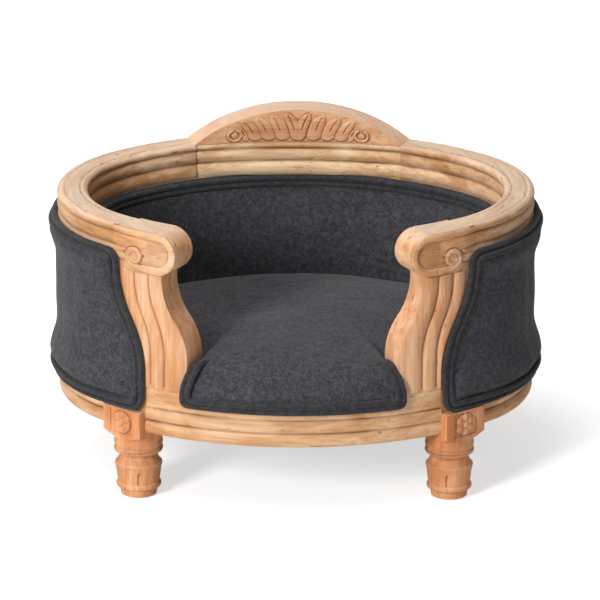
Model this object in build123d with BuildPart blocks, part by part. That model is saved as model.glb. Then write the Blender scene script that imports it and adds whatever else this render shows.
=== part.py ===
from build123d import *
import os
from math import asin, atan2, cos, degrees, hypot, radians, sin, tan

os.makedirs("parts", exist_ok=True)

# An oval pet sofa: a moulded ring on four turned legs, an upholstered wall, and a moulded
# top rail that ends in two scrolls on reeded posts. X is its length, the front faces -Y,
# and the origin is on the floor under its middle. Lengths are in millimetres.

# Plan: an oval struck from four centres
half_length = 312.0
half_depth = 238.6
end_centre_share = 1.594

# Rings
rail_width = 40.0
rail_bottom = 97.0
rail_height = 62.0
rail_bead_height = 18.3
band_setback = 2.5
bead_depth = 4.0
top_rail_underside = 326.0
top_rail_low_bead = 20.0
top_rail_mid_bead = 17.7
top_rail_top_bead = 9.5
back_joint_angle = 24.0
back_face_radius = 560.0
back_face_depth = 49.0
back_core_depth = 32.0

# Crest
crest_rise = 43.8
crest_back_setback = 6.0

# Legs
leg_angle = 35.5
leg_inset = 25.7
leg_turn = 40.5
leg_block_width = 64.0
leg_block_bottom = 85.0
leg_block_height = 41.0
leg_corner_start = 34.0
leg_corner_rise = 9.0
rosette_field_width = 40.0
rosette_field_height = 33.0
rosette_depth = 2.0
rosette_height = 22.0
rosette_petals = 6
petal_radius = 5.25
petal_ring = 9.75
button_radius = 5.1
glide_radius = 18.0
glide_thickness = 2.0
foot_radius = 23.4
toe_radius = 24.6
toe_height = 11.4
collar_radius = 29.4
collar_height = 15.4
waist_radius = 27.0
waist_height = 19.4
shaft_radius = 30.3
shaft_height = 42.2
shoulder_radius = 30.9
shoulder_height = 44.4
slope_radius = 29.0
slope_height = 46.4
throat_radius = 25.2
throat_height = 53.2
neck_radius = 24.2
neck_height = 56.6
ring_foot_radius = 27.8
ring_foot_height = 61.0
ring_radius = 31.8
ring_height = 66.3
ring_groove_radius = 29.8
ring_groove_height = 68.5
upper_ring_height = 73.0
ring_head_radius = 30.8
ring_head_height = 78.4
flute_width = 6.0
flute_length = 18.0
flute_depth = 2.0
flute_height = 29.0

# Arm scrolls and posts
scroll_angle = 29.5
scroll_length = 77.5
scroll_height = 57.0
scroll_joint = -13.0
scroll_eye_radius = 12.0
scroll_groove = 2.6
eye_turn_start = -50.0
eye_turn = 190.0
curl_start = 60.0
curl_turn = 200.0
scroll_sink = 4.5
dish_length = 40.0
dish_height = 27.0
post_top_edge = -16.5
post_belly_edge = -51.5
post_foot_edge = -43.0
post_outer_edge = 54.0
ogee_top = 308.0
ogee_low = 204.0
reed_one_top = 4.6
reed_one_low = -18.5
reed_two_top = 26.5
reed_two_low = 2.0
cover_edge_top = 47.0
cover_edge_low = 8.0
cover_line_top = 315.0
cover_line_low = 185.0
reed_groove_width = 19.0
reed_groove_depth = 5.0

# Wall between the rings
upright_width = 30.0
upright_front_inset = 11.0
upright_back_inset = 34.0
upright_side_angle = 12.0
upright_rear_angle = 62.0
panel_thickness = 3.0
wall_start_gap = 0.6
padding_thickness = 6.6
cover_thickness = 3.0
soft_gap = 0.3
cover_stand = 2.5
cover_top = 326.0
cover_low = 144.5
flare_out = 12.0
flare_height = 34.0
flare_hem_share = 0.5
flare_peak_share = 0.3
flare_end_share = 1.4
head_out_share = 0.8
head_hem_share = 0.7
head_drop_share = 0.25
foam_top = 307.6
wall_crown_height = 235.0
wall_top_inset = 46.0
wall_crown_inset = 56.0
wall_foot_inset = 54.0

# Seat
deck_thickness = 12.0
deck_gap = 0.6
cleat_width = 18.0
cleat_height = 20.0
cleat_end_gap = 5.0
seat_wall_gap = 0.8
seat_edge_height = 193.0
seat_edge_roll = 12.0
seat_crown_height = 212.0
seat_crown_run = 110.0
seat_front_height = 203.0
seat_front_roll = 42.0
seat_blend_start = 22.6
seat_blend_stop = 33.0
seat_blend_depth = 5.0
dust_inset = 14.0
dust_thickness = 1.0

# Double welts
welt_radius = 4.0
top_welt_height = 331.2
base_welt_height = 131.2
wall_welt_height = 313.2
seat_welt_height = 146.4
welt_pitch = 8.1
welt_lean = 3.6

# Fixings
peg_radius = 4.0
peg_length = 36.0
peg_play = 0.15
leg_peg_low = 110.0
leg_peg_high = 145.0
top_peg_spread = 10.0
crest_peg_spread = 90.0
screw_radius = 2.2
screw_head_radius = 4.2
screw_head_height = 2.4
screw_length = 26.0
overrun = 30.0

# Worked out from the values above
end_centre = end_centre_share * (half_length - half_depth)
end_radius = half_length - end_centre
side_radius = (end_centre**2 + half_depth**2 - end_radius**2) / (2 * (half_depth - end_radius))
side_centre = side_radius - half_depth
join_angle = degrees(atan2(end_centre, side_centre))
front_arc = ((0, side_centre), side_radius)
back_arc = ((0, -side_centre), side_radius)
right_arc = ((end_centre, 0), end_radius)
rail_top = rail_bottom + rail_height
block_top = leg_block_bottom + leg_block_height
rail_bands = [rail_bottom + count * rail_bead_height for count in range(3)]
top_bands = [
    top_rail_underside,
    top_rail_underside + top_rail_low_bead,
    top_rail_underside + top_rail_low_bead + top_rail_mid_bead,
    top_rail_underside + top_rail_low_bead + top_rail_mid_bead + top_rail_top_bead,
]
top_rail_top = top_bands[-1]
deck_top = block_top + deck_thickness
up = (0, 0, 1)


def standing(centre, angle):
    """The upright plane through a centre of the oval, X outwards and Y up."""
    turn = radians(angle)
    return Plane(origin=(*centre, 0), x_dir=(cos(turn), sin(turn), 0), z_dir=(sin(turn), -cos(turn), 0))


def front_point(angle, inset):
    """A point of the front, at an angle from the middle and a depth behind the outside."""
    turn = radians(angle)
    reach = side_radius - inset
    return (reach * sin(turn), side_centre - reach * cos(turn), 0)


def touching(angle):
    """The upright plane that touches the front at an angle, X away from the opening, Y up."""
    turn = radians(angle)
    across = (cos(turn), sin(turn), 0)
    return Plane(origin=front_point(angle, 0), x_dir=across, z_dir=(sin(turn), -cos(turn), 0))


def half_ring(start, stop):
    """The arcs of the right half, from an angle off the front's middle to one off the back's."""
    front = [(front_arc, start - 90, join_angle - 90)] if start < join_angle else []
    side_start = join_angle - 90
    if start >= join_angle:
        side_start = start - 90
    return [
        *front,
        (right_arc, side_start, 90 - join_angle),
        (back_arc, 90 - join_angle, 90 - stop),
    ]


def run(section, arcs, mode=Mode.ADD):
    """Turn a section round each arc in a list, so that it follows the oval."""
    for (centre, radius), first, last in arcs:
        with BuildSketch(standing(centre, first)) as profile:
            section(radius)
        revolve(profile.sketch, Axis((*centre, 0), up), revolution_arc=last - first, mode=mode)


def block_section(outer, inner, low, high):
    """A plain rectangular section between two insets and two heights."""

    def section(radius):
        with BuildLine() as outline:
            Polyline(
                (radius - inner, low),
                (radius - outer, low),
                (radius - outer, high),
                (radius - inner, high),
                close=True,
            )
        make_face(outline.edges())

    return section


def beads(face, depth, levels):
    """Round beads one above another, between two levels each, against an upright face."""
    for low, high in zip(levels, levels[1:]):
        ThreePointArc((face - depth, low), (face, (low + high) / 2), (face - depth, high))


def arc_along(start, end, along):
    """An arc that leaves its start along a direction and passes to its end."""
    start, end, along = Vector(*start), Vector(*end), Vector(*along)
    across = Vector(-along.Y, along.X)
    chord = end - start
    radius = chord.dot(chord) / (2 * chord.dot(across))
    centre = start + across * radius
    middle = centre + ((start + end) / 2 - centre).normalized() * abs(radius)
    ThreePointArc(*((point.X, point.Y) for point in (start, middle, end)))


def oval(inset):
    """The oval in plan, drawn in by an inset."""
    with BuildLine() as outline:
        for centre, radius, middle, half in (
            ((0, side_centre), side_radius, -90, join_angle),
            ((end_centre, 0), end_radius, 0, 90 - join_angle),
            ((0, -side_centre), side_radius, 90, join_angle),
            ((-end_centre, 0), end_radius, 180, 90 - join_angle),
        ):
            CenterArc(centre, radius - inset, middle - half, 2 * half)
    make_face(outline.edges())


def save(piece, label):
    """Label a finished piece and write its file."""
    piece.part.label = label
    export_step(piece.part, f"parts/{label}.step")


# Places of the legs: square blocks set on the ring, one face turned outwards
leg_x, leg_y, _ = front_point(leg_angle, leg_inset)
leg_facing = radians(leg_turn)
leg_across = (cos(leg_facing), sin(leg_facing), 0)
leg_outward = (sin(leg_facing), -cos(leg_facing), 0)


def leg_plane(height):
    """The level plane at the front right leg, X along the leg's outer face."""
    return Plane(origin=(leg_x, leg_y, height), x_dir=leg_across, z_dir=up)


with BuildPart() as leg_blocks:
    with BuildSketch(leg_plane(leg_block_bottom)):
        Rectangle(leg_block_width, leg_block_width)
    extrude(amount=rail_top + overrun - leg_block_bottom)
    mirror(about=Plane.YZ)
    mirror(about=Plane.XZ)


# Pegs: one builder makes each set, once as the dowels and once, larger, as their holes
def leg_pegs(play):
    """Dowels from each leg into the rails on its two sides."""
    with BuildPart() as pegs:
        for side in (1, -1):
            reach = leg_block_width / 2
            start = Vector(leg_x, leg_y, 0) + Vector(*leg_across) * side * (reach - peg_length / 2 - play)
            start += Vector(*leg_outward) * (leg_inset - rail_width / 2)
            for height in (leg_peg_low, leg_peg_high):
                face = Plane(origin=start + Vector(0, 0, height), z_dir=Vector(*leg_across) * side)
                with BuildSketch(face):
                    Circle(peg_radius + play)
                extrude(amount=peg_length + 2 * play)
        mirror(about=Plane.YZ)
        mirror(about=Plane.XZ)
    return pegs.part


def upright_pegs(play):
    """Dowels at the foot and head of every wall upright."""
    middle_inset = (upright_front_inset + upright_back_inset) / 2
    with BuildPart() as pegs:
        for (centre, radius), angle in upright_places:
            turn = radians(angle)
            reach = radius - middle_inset
            spot = (centre[0] + reach * cos(turn), centre[1] + reach * sin(turn))
            for height in (rail_top, top_rail_underside):
                with BuildSketch(Plane.XY.offset(height - peg_length / 2 - play)):
                    with Locations(spot):
                        Circle(peg_radius + play)
                extrude(amount=peg_length + 2 * play)
        mirror(about=Plane.YZ)
    return pegs.part


def post_pegs(play):
    """Dowels from each arm post into the ring below, the scroll and the rail above."""
    scroll_base = top_rail_top - scroll_height
    with BuildPart() as pegs:
        for along, height in (
            (post_foot_edge / 2, rail_top),
            (post_outer_edge * 2 / 3, rail_top),
            (0, scroll_base),
            (post_outer_edge - 2.5 * peg_radius, top_rail_underside),
        ):
            angle = scroll_angle + degrees(asin(along / side_radius))
            spot = front_point(angle, rail_width / 2)
            with BuildSketch(Plane.XY.offset(height - peg_length / 2 - play)):
                with Locations(spot[:2]):
                    Circle(peg_radius + play)
            extrude(amount=peg_length + 2 * play)
        mirror(about=Plane.YZ)
    return pegs.part


def top_pegs(play):
    """Two dowels across each joint of the top rail: at the back and at the scroll."""
    middle = (top_rail_underside + top_rail_top) / 2
    joint = scroll_angle + degrees(asin(scroll_joint / side_radius))
    with BuildPart() as pegs:
        for (centre, radius), angle in ((back_arc, 90 - back_joint_angle), (front_arc, joint - 90)):
            turn = radians(angle)
            reach = radius - rail_width / 2
            spot = Vector(centre[0] + reach * cos(turn), centre[1] + reach * sin(turn), middle)
            along = Vector(-sin(turn), cos(turn), 0)
            for offset in (-top_peg_spread, top_peg_spread):
                start = spot - along * (peg_length / 2 + play) + Vector(0, 0, offset)
                with BuildSketch(Plane(origin=start, z_dir=along)):
                    Circle(peg_radius + play)
                extrude(amount=peg_length + 2 * play)
        mirror(about=Plane.YZ)
    return pegs.part


def crest_pegs(play):
    """Dowels that stand in the back rail and hold the crest."""
    with BuildPart() as pegs:
        with BuildSketch(Plane.XY.offset(top_rail_top - peg_length / 2 - play)):
            for x in (-crest_peg_spread, 0, crest_peg_spread):
                y = (side_radius - rail_width / 2) * cos(asin(x / side_radius)) - side_centre
                with Locations((x, y)):
                    Circle(peg_radius + play)
        extrude(amount=peg_length + 2 * play)
    return pegs.part


upright_places = (
    (right_arc, -upright_side_angle),
    (right_arc, upright_side_angle * 3),
    (back_arc, upright_rear_angle),
    (back_arc, 90 - upright_side_angle / 2),
)
leg_holes = leg_pegs(peg_play)
upright_holes = upright_pegs(peg_play)
post_holes = post_pegs(peg_play)
top_holes = top_pegs(peg_play)
crest_holes = crest_pegs(peg_play)


# Base ring: two beads below a plain band, in four rails between the leg blocks
def base_section(radius):
    with BuildLine() as outline:
        beads(radius, bead_depth, rail_bands)
        Polyline(
            (radius - bead_depth, rail_bands[-1]),
            (radius - band_setback, rail_bands[-1]),
            (radius - band_setback, rail_top),
            (radius - rail_width, rail_top),
            (radius - rail_width, rail_bottom),
            (radius - bead_depth, rail_bottom),
        )
    make_face(outline.edges())


for label, middle in (("front_rail", -90), ("back_base_rail", 90)):
    centre = (0, -side_centre if middle > 0 else side_centre)
    with BuildPart() as base_rail:
        run(base_section, [((centre, side_radius), middle - leg_angle, middle + leg_angle)])
        add(leg_blocks.part, mode=Mode.SUBTRACT)
        add(leg_holes, mode=Mode.SUBTRACT)
        add(upright_holes, mode=Mode.SUBTRACT)
        add(post_holes, mode=Mode.SUBTRACT)
    save(base_rail, label)

for label, flip in (("right_base_rail", False), ("left_base_rail", True)):
    with BuildPart() as base_rail:
        run(base_section, half_ring(leg_angle, leg_angle))
        add(leg_blocks.part, mode=Mode.SUBTRACT)
        add(leg_holes, mode=Mode.SUBTRACT)
        add(upright_holes, mode=Mode.SUBTRACT)
        if flip:
            mirror(about=Plane.YZ, mode=Mode.REPLACE)
    save(base_rail, label)

# Leg: turned from a square blank, with a carved block and a stub inside the ring's band
with BuildPart() as stub:
    with BuildSketch(leg_plane(block_top)):
        Rectangle(leg_block_width, leg_block_width)
    extrude(amount=rail_top - block_top)

with BuildPart() as band_ring:
    run(block_section(band_setback, rail_width, block_top, rail_top), half_ring(0, leg_angle))

with BuildPart() as leg_block:
    with BuildSketch(leg_plane(leg_block_bottom)):
        Rectangle(leg_block_width, leg_block_width)
    extrude(amount=leg_block_height)
    with BuildSketch(standing((leg_x, leg_y), leg_turn)):
        with BuildLine():
            Polyline(
                (0, leg_block_bottom),
                (leg_corner_start, leg_block_bottom),
                (leg_block_width, leg_block_bottom + leg_corner_rise * 2),
                (leg_block_width, block_top),
                (0, block_top),
                close=True,
            )
        make_face()
    revolve(axis=Axis((leg_x, leg_y, 0), up), mode=Mode.INTERSECT)

with BuildPart() as leg:
    add(stub.part)
    add(band_ring.part, mode=Mode.INTERSECT)
    add(leg_block.part)
    with BuildSketch(standing((leg_x, leg_y), leg_turn)):
        with BuildLine():
            Polyline(
                (0, leg_block_bottom),
                (0, glide_thickness),
                (foot_radius, glide_thickness),
                (toe_radius, toe_height),
            )
            ThreePointArc(
                (toe_radius, toe_height),
                (collar_radius, collar_height),
                (waist_radius, waist_height),
            )
            Line((waist_radius, waist_height), (shaft_radius, shaft_height))
            ThreePointArc(
                (shaft_radius, shaft_height),
                (shoulder_radius, shoulder_height),
                (slope_radius, slope_height),
            )
            Line((slope_radius, slope_height), (throat_radius, throat_height))
            ThreePointArc(
                (throat_radius, throat_height),
                (neck_radius, neck_height),
                (ring_foot_radius, ring_foot_height),
            )
            ThreePointArc(
                (ring_foot_radius, ring_foot_height),
                (ring_radius, ring_height),
                (ring_groove_radius, ring_groove_height),
            )
            ThreePointArc(
                (ring_groove_radius, ring_groove_height),
                (ring_radius, upper_ring_height),
                (ring_head_radius, ring_head_height),
            )
            Polyline(
                (ring_head_radius, ring_head_height),
                (ring_radius, leg_block_bottom),
                (0, leg_block_bottom),
            )
        make_face()
    revolve(axis=Axis((leg_x, leg_y, 0), up))
    outward = Vector(*leg_outward)
    block_face = Vector(leg_x, leg_y, leg_block_bottom + rosette_height) + outward * leg_block_width / 2
    field_floor = Plane(origin=block_face - outward * rosette_depth, x_dir=leg_across, z_dir=leg_outward)
    with BuildSketch(field_floor):
        Rectangle(rosette_field_width, rosette_field_height)
    extrude(amount=rosette_depth + overrun, mode=Mode.SUBTRACT)
    with BuildSketch(field_floor):
        Circle(button_radius)
        with PolarLocations(petal_ring, rosette_petals):
            Circle(petal_radius)
    extrude(amount=rosette_depth)
    for count in range(4):
        turn = radians(leg_turn + 45 + 90 * count)
        facing = Vector(sin(turn), -cos(turn), 0)
        start = Vector(leg_x, leg_y, flute_height) + facing * (waist_radius - flute_depth)
        with BuildSketch(Plane(origin=start, x_dir=(cos(turn), sin(turn), 0), z_dir=facing)):
            SlotOverall(flute_length, flute_width, rotation=90)
        extrude(amount=shoulder_radius, mode=Mode.SUBTRACT)
    add(leg_holes, mode=Mode.SUBTRACT)

with BuildPart() as front_leg:
    add(leg.part)
    add(post_holes, mode=Mode.SUBTRACT)

for label, master, mirrored, turn in (
    ("leg_front_right", front_leg, False, 0),
    ("leg_front_left", front_leg, True, 180),
    ("leg_back_right", leg, True, 0),
    ("leg_back_left", leg, False, 180),
):
    with BuildPart() as placed_leg:
        placed = master.part.mirror(Plane.XZ) if mirrored else master.part
        add(placed.rotate(Axis.Z, turn))
    save(placed_leg, label)

with BuildPart() as leg_glides:
    with BuildSketch():
        with Locations((leg_x, leg_y)):
            Circle(glide_radius)
    extrude(amount=glide_thickness)
    mirror(about=Plane.YZ)
    mirror(about=Plane.XZ)
save(leg_glides, "leg_glides")


# Top rail: three beads outside and in, the back section flatter inside than the arms
def arm_section(radius):
    inner = radius - rail_width
    with BuildLine() as outline:
        beads(radius, bead_depth, top_bands)
        beads(inner, -bead_depth, top_bands)
        for height in (top_rail_underside, top_rail_top):
            Line((radius - bead_depth, height), (inner + bead_depth, height))
    make_face(outline.edges())


def outer_half_section(radius):
    core = radius - rail_width / 2
    with BuildLine() as outline:
        beads(radius, bead_depth, top_bands)
        Polyline(
            (radius - bead_depth, top_rail_underside),
            (core, top_rail_underside),
            (core, top_rail_top),
            (radius - bead_depth, top_rail_top),
        )
    make_face(outline.edges())


def inner_half_section(radius):
    core = radius + back_core_depth
    with BuildLine() as outline:
        beads(radius, -bead_depth, top_bands)
        Polyline(
            (radius + bead_depth, top_rail_underside),
            (core, top_rail_underside),
            (core, top_rail_top),
            (radius + bead_depth, top_rail_top),
        )
    make_face(outline.edges())


back_span = [(back_arc, 90 - back_joint_angle, 90 + back_joint_angle)]
back_face_centre = half_depth - back_face_depth - back_face_radius
back_face_arc = ((0, back_face_centre), back_face_radius)

with BuildPart() as back_top_rail:
    run(inner_half_section, [(back_face_arc, 90 - back_joint_angle, 90 + back_joint_angle)])
    run(outer_half_section, back_span)
    for end in (-1, 1):
        joint_plane = standing(back_arc[0], 90 + end * back_joint_angle)
        split(bisect_by=joint_plane, keep=Keep.BOTTOM if end < 0 else Keep.TOP)
    for holes in (top_holes, crest_holes, upright_holes):
        add(holes, mode=Mode.SUBTRACT)
save(back_top_rail, "back_top_rail")

# Crest: an arched block whose ends run out in the planes of the rail's joints
with BuildPart() as crest:
    for reach in (side_radius / 2, side_radius / cos(radians(back_joint_angle))):
        half_chord = reach * sin(radians(back_joint_angle))
        depth = reach * cos(radians(back_joint_angle)) - side_centre
        with BuildSketch(Plane(origin=(0, depth, 0), x_dir=(1, 0, 0), z_dir=(0, -1, 0))):
            with BuildLine():
                ends = ((-half_chord, top_rail_top), (half_chord, top_rail_top))
                ThreePointArc(ends[0], (0, top_rail_top + crest_rise), ends[1])
                Line(*ends)
            make_face()
    loft(ruled=True)
    with BuildSketch(Plane.XY.offset(top_rail_top)):
        with Locations((0, -side_centre)):
            Circle(side_radius - crest_back_setback)
        with Locations((0, back_face_centre)):
            Circle(back_face_radius, mode=Mode.SUBTRACT)
    extrude(amount=crest_rise + overrun, mode=Mode.INTERSECT)
    add(crest_holes, mode=Mode.SUBTRACT)
save(crest, "crest")

# Arm: the moulded rail runs into a flat-faced scroll with a rounded tip
tip_radius = scroll_height / 2
tip_centre = tip_radius - scroll_length / 2
scroll_end = scroll_length / 2
scroll_low = top_rail_top - scroll_height
scroll_middle = top_rail_top - tip_radius
eye_x = scroll_end - scroll_eye_radius
eye_z = scroll_low + scroll_eye_radius
eye_slant = scroll_eye_radius * cos(radians(45))
band_radius = tip_radius - top_rail_top_bead
scroll_face = touching(scroll_angle)
scroll_joint_angle = scroll_angle + degrees(asin(scroll_joint / side_radius))
rail_start_angle = scroll_angle + degrees(asin((scroll_end - scroll_eye_radius / 2) / side_radius))
front_span = [(front_arc, -90, join_angle - 90)]

with BuildPart() as scroll_cuts:
    with BuildSketch(scroll_face):
        with BuildLine():
            Line((scroll_end, top_bands[2]), (tip_centre, top_bands[2]))
            ThreePointArc(
                (tip_centre, top_bands[2]),
                (tip_centre - band_radius, scroll_middle),
                (tip_centre, scroll_middle - band_radius),
            )
            dish_low = scroll_middle - band_radius
            Line((tip_centre, dish_low), (eye_x - scroll_eye_radius, dish_low))
        trace(line_width=scroll_groove)
        with BuildLine():
            CenterArc((eye_x, eye_z), scroll_eye_radius - scroll_groove / 2, eye_turn_start, eye_turn)
        trace(line_width=scroll_groove)
        with BuildLine():
            CenterArc((eye_x, eye_z), scroll_eye_radius / 2, curl_start, curl_turn)
        trace(line_width=scroll_groove)
        with BuildLine():
            Line((scroll_end, top_bands[1]), (eye_x, eye_z + scroll_eye_radius))
        trace(line_width=scroll_groove)
    extrude(amount=overrun, both=True)
    run(
        block_section(-overrun, bead_depth, scroll_low, top_rail_top),
        front_span,
        mode=Mode.INTERSECT,
    )

tilt = asin(scroll_sink / (scroll_end + band_radius - tip_centre))
hinge = Vector(*front_point(scroll_angle + degrees(asin(scroll_end / side_radius)), 0))
dish_across = scroll_face.x_dir * cos(tilt) + scroll_face.z_dir * sin(tilt)
dish_plane = Plane(origin=hinge, x_dir=dish_across, z_dir=dish_across.cross(Vector(0, 0, 1)))

with BuildPart() as dish_cut:
    with BuildSketch(dish_plane):
        with BuildLine():
            left = tip_centre - scroll_end
            Line((0, top_bands[2]), (left, top_bands[2]))
            ThreePointArc(
                (left, top_bands[2]),
                (left - band_radius, scroll_middle),
                (left, scroll_middle - band_radius),
            )
            eye_edge = -scroll_eye_radius * 2
            Line((left, scroll_middle - band_radius), (eye_edge, scroll_middle - band_radius))
            Line((eye_edge, scroll_middle - band_radius), (eye_edge, eye_z))
            ThreePointArc(
                (eye_edge, eye_z),
                (-scroll_eye_radius, eye_z + scroll_eye_radius),
                (-scroll_eye_radius + eye_slant, eye_z + eye_slant),
            )
            Line((-scroll_eye_radius + eye_slant, eye_z + eye_slant), (0, top_bands[1]))
            Line((0, top_bands[1]), (0, top_bands[2]))
        make_face()
    extrude(amount=overrun)

with BuildPart() as arm_blank:
    with BuildSketch(scroll_face):
        with BuildLine():
            Line((scroll_end, top_rail_top), (tip_centre, top_rail_top))
            ThreePointArc(
                (tip_centre, top_rail_top),
                (-scroll_end, scroll_middle),
                (tip_centre, scroll_low),
            )
            Line((tip_centre, scroll_low), (eye_x, scroll_low))
            ThreePointArc(
                (eye_x, scroll_low),
                (eye_x + eye_slant, eye_z - eye_slant),
                (scroll_end, eye_z),
            )
            Line((scroll_end, eye_z), (scroll_end, top_rail_top))
        make_face()
    extrude(amount=rail_width + overrun, both=True)
    run(block_section(0, rail_width, scroll_low, top_rail_top), front_span, mode=Mode.INTERSECT)
    run(arm_section, half_ring(rail_start_angle, back_joint_angle))

with BuildPart() as arm:
    add(arm_blank.part)
    add(scroll_cuts.part, mode=Mode.SUBTRACT)
    add(dish_cut.part, mode=Mode.SUBTRACT)

scroll_joint_plane = standing(front_arc[0], scroll_joint_angle - 90)
for name, keep in (("arm_scroll", Keep.TOP), ("arm_rail", Keep.BOTTOM)):
    for side in ("right", "left"):
        with BuildPart() as arm_piece:
            add(arm.part)
            split(bisect_by=scroll_joint_plane, keep=keep)
            for holes in (top_holes, post_holes, upright_holes):
                add(holes, mode=Mode.SUBTRACT)
            if side == "left":
                mirror(about=Plane.YZ, mode=Mode.REPLACE)
        save(arm_piece, f"{side}_{name}")


# Arm post: a plank sawn to an ogee, reeded where it shows, plain under the cover
def ogee(top, low, start, end, shift=0):
    """Two arcs that run down from one upright line to another, moved square to themselves."""
    slope = 2 * atan2(top - low, start - end)
    bend = ((top + low) / 2 + shift * cos(slope), (start + end) / 2 - shift * sin(slope))
    arc_along((top + shift, start), bend, (0, -1))
    arc_along((low + shift, end), bend, (0, 1))


with BuildPart() as post:
    with BuildSketch(scroll_face):
        with BuildLine():
            Line((post_top_edge, top_rail_underside), (post_top_edge, ogee_top))
            ogee(post_top_edge, post_belly_edge, ogee_top, ogee_low)
            arc_along((post_belly_edge, ogee_low), (post_foot_edge, rail_top), (0, -1))
            Polyline(
                (post_foot_edge, rail_top),
                (post_outer_edge, rail_top),
                (post_outer_edge, top_rail_underside),
                (post_top_edge, top_rail_underside),
            )
        make_face()
    extrude(amount=rail_width + overrun, both=True)
    run(block_section(band_setback, rail_width, 0, top_rail_top), front_span, mode=Mode.INTERSECT)
    add(arm_blank.part, mode=Mode.SUBTRACT)
    for top, low in ((reed_one_top, reed_one_low), (reed_two_top, reed_two_low)):
        with BuildLine(scroll_face) as reed_line:
            Line((top, top_rail_underside), (top, ogee_top))
            ogee(top, low, ogee_top, ogee_low)
            Line((low, ogee_low), (low, rail_top + reed_groove_depth))
        crown = -band_setback
        half = reed_groove_width / 2
        start = scroll_face.from_local_coords(Vector(top, top_rail_underside, 0))
        with BuildSketch(Plane(origin=start, x_dir=scroll_face.x_dir, z_dir=(0, 0, -1))) as groove:
            with BuildLine():
                ThreePointArc(
                    (-half, crown + band_setback / 8),
                    (-half / 3, crown - reed_groove_depth / 4),
                    (0, crown - reed_groove_depth),
                )
                ThreePointArc(
                    (0, crown - reed_groove_depth),
                    (half / 3, crown - reed_groove_depth / 4),
                    (half, crown + band_setback / 8),
                )
                Polyline(
                    (half, crown + band_setback / 8),
                    (half, reed_groove_depth),
                    (-half, reed_groove_depth),
                    (-half, crown + band_setback / 8),
                )
            make_face()
        sweep(groove.sketch, path=reed_line.line, mode=Mode.SUBTRACT)
    add(post_holes, mode=Mode.SUBTRACT)

for side in ("right", "left"):
    with BuildPart() as arm_post:
        add(post.part)
        if side == "left":
            mirror(about=Plane.YZ, mode=Mode.REPLACE)
    save(arm_post, f"{side}_arm_post")


# Wall: uprights between the rings, a bent board on each face, and the padding outside
def outline_beyond(line_top, line_low, start, end, shift=0):
    """All that lies on the opening's side of an ogee line, drawn on the scroll's plane."""
    far = -side_radius / 2
    with BuildLine() as outline:
        Line((line_top + shift, top_rail_top + overrun), (line_top + shift, start))
        ogee(line_top, line_low, start, end, shift)
        Polyline(
            (line_low + shift, end),
            (line_low + shift, 0),
            (far, 0),
            (far, top_rail_top + overrun),
            (line_top + shift, top_rail_top + overrun),
        )
    make_face(outline.edges())


post_back_radius = side_radius - rail_width
post_edge_angle = scroll_angle + degrees(asin((post_outer_edge + wall_start_gap) / post_back_radius))
post_foot_angle = scroll_angle + degrees(asin(post_belly_edge / side_radius))
cover_start_angle = scroll_angle + degrees(asin(cover_edge_low / side_radius))
inner_panel_inset = upright_back_inset + panel_thickness

with BuildPart() as wall_uprights:
    upright_section = block_section(upright_front_inset, upright_back_inset, rail_top, top_rail_underside)
    for arc, angle in upright_places:
        half = degrees(upright_width / 2 / arc[1])
        run(upright_section, [(arc, angle - half, angle + half)])
    mirror(about=Plane.YZ)
    add(upright_holes, mode=Mode.SUBTRACT)
save(wall_uprights, "wall_uprights")

for label, outer in (
    ("outer_panel", upright_front_inset - panel_thickness),
    ("inner_panel", upright_back_inset),
):
    with BuildPart() as panel:
        board = block_section(outer, outer + panel_thickness, rail_top, top_rail_underside)
        run(board, half_ring(post_edge_angle, 0))
        mirror(about=Plane.YZ)
    save(panel, label)


def cover_line(face):
    """The cover's outer line: a roll at its foot, a hollow face and a lesser roll at its head."""
    Spline(
        (face + flare_out * flare_hem_share, cover_low),
        (face + flare_out, cover_low + flare_height * flare_peak_share),
        (face + cover_stand, cover_low + flare_height * flare_end_share),
        (face + cover_stand, (cover_low + cover_top) / 2),
        (face + cover_stand, cover_top - flare_height),
        (face + flare_out * head_out_share, cover_top - flare_height * head_drop_share),
        (face + flare_out * head_hem_share, cover_top),
    )


def cover_section(radius):
    with BuildLine() as outline:
        cover_line(radius)
        cover_line(radius - cover_thickness)
        for height, share in ((cover_low, flare_hem_share), (cover_top, head_hem_share)):
            face = radius + flare_out * share
            Line((face, height), (face - cover_thickness, height))
    make_face(outline.edges())


def padding_section(radius):
    back = radius - upright_front_inset + panel_thickness + soft_gap
    face = radius - cover_thickness - soft_gap
    with BuildLine() as outline:
        cover_line(face)
        Polyline(
            (face + flare_out * flare_hem_share, cover_low),
            (back, cover_low),
            (back, cover_top),
            (face + flare_out * head_hem_share, cover_top),
        )
    make_face(outline.edges())


cord_pair = 2 * welt_radius + welt_pitch
cover_middle = (cover_edge_top + cover_edge_low) / 2
cover_face = touching(scroll_angle + degrees(asin(cover_middle / side_radius)))
cover_line_edges = (cover_edge_top - cover_middle, cover_edge_low - cover_middle)

with BuildPart() as outer_cover:
    run(cover_section, half_ring(cover_start_angle, 0))
    with BuildSketch(cover_face):
        outline_beyond(*cover_line_edges, cover_line_top, cover_line_low, cord_pair + soft_gap)
    extrude(amount=side_radius / 4, both=True, mode=Mode.SUBTRACT)
    mirror(about=Plane.YZ)
save(outer_cover, "outer_cover")

with BuildPart() as outer_padding:
    run(padding_section, half_ring(post_edge_angle, 0))
    with BuildSketch(cover_face):
        outline_beyond(*cover_line_edges, cover_line_top, cover_line_low, cord_pair + soft_gap)
    extrude(amount=post_outer_edge, both=True, mode=Mode.SUBTRACT)
    run(base_section, half_ring(0, 0), mode=Mode.SUBTRACT)
    mirror(about=Plane.YZ)
save(outer_padding, "outer_padding")


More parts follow.
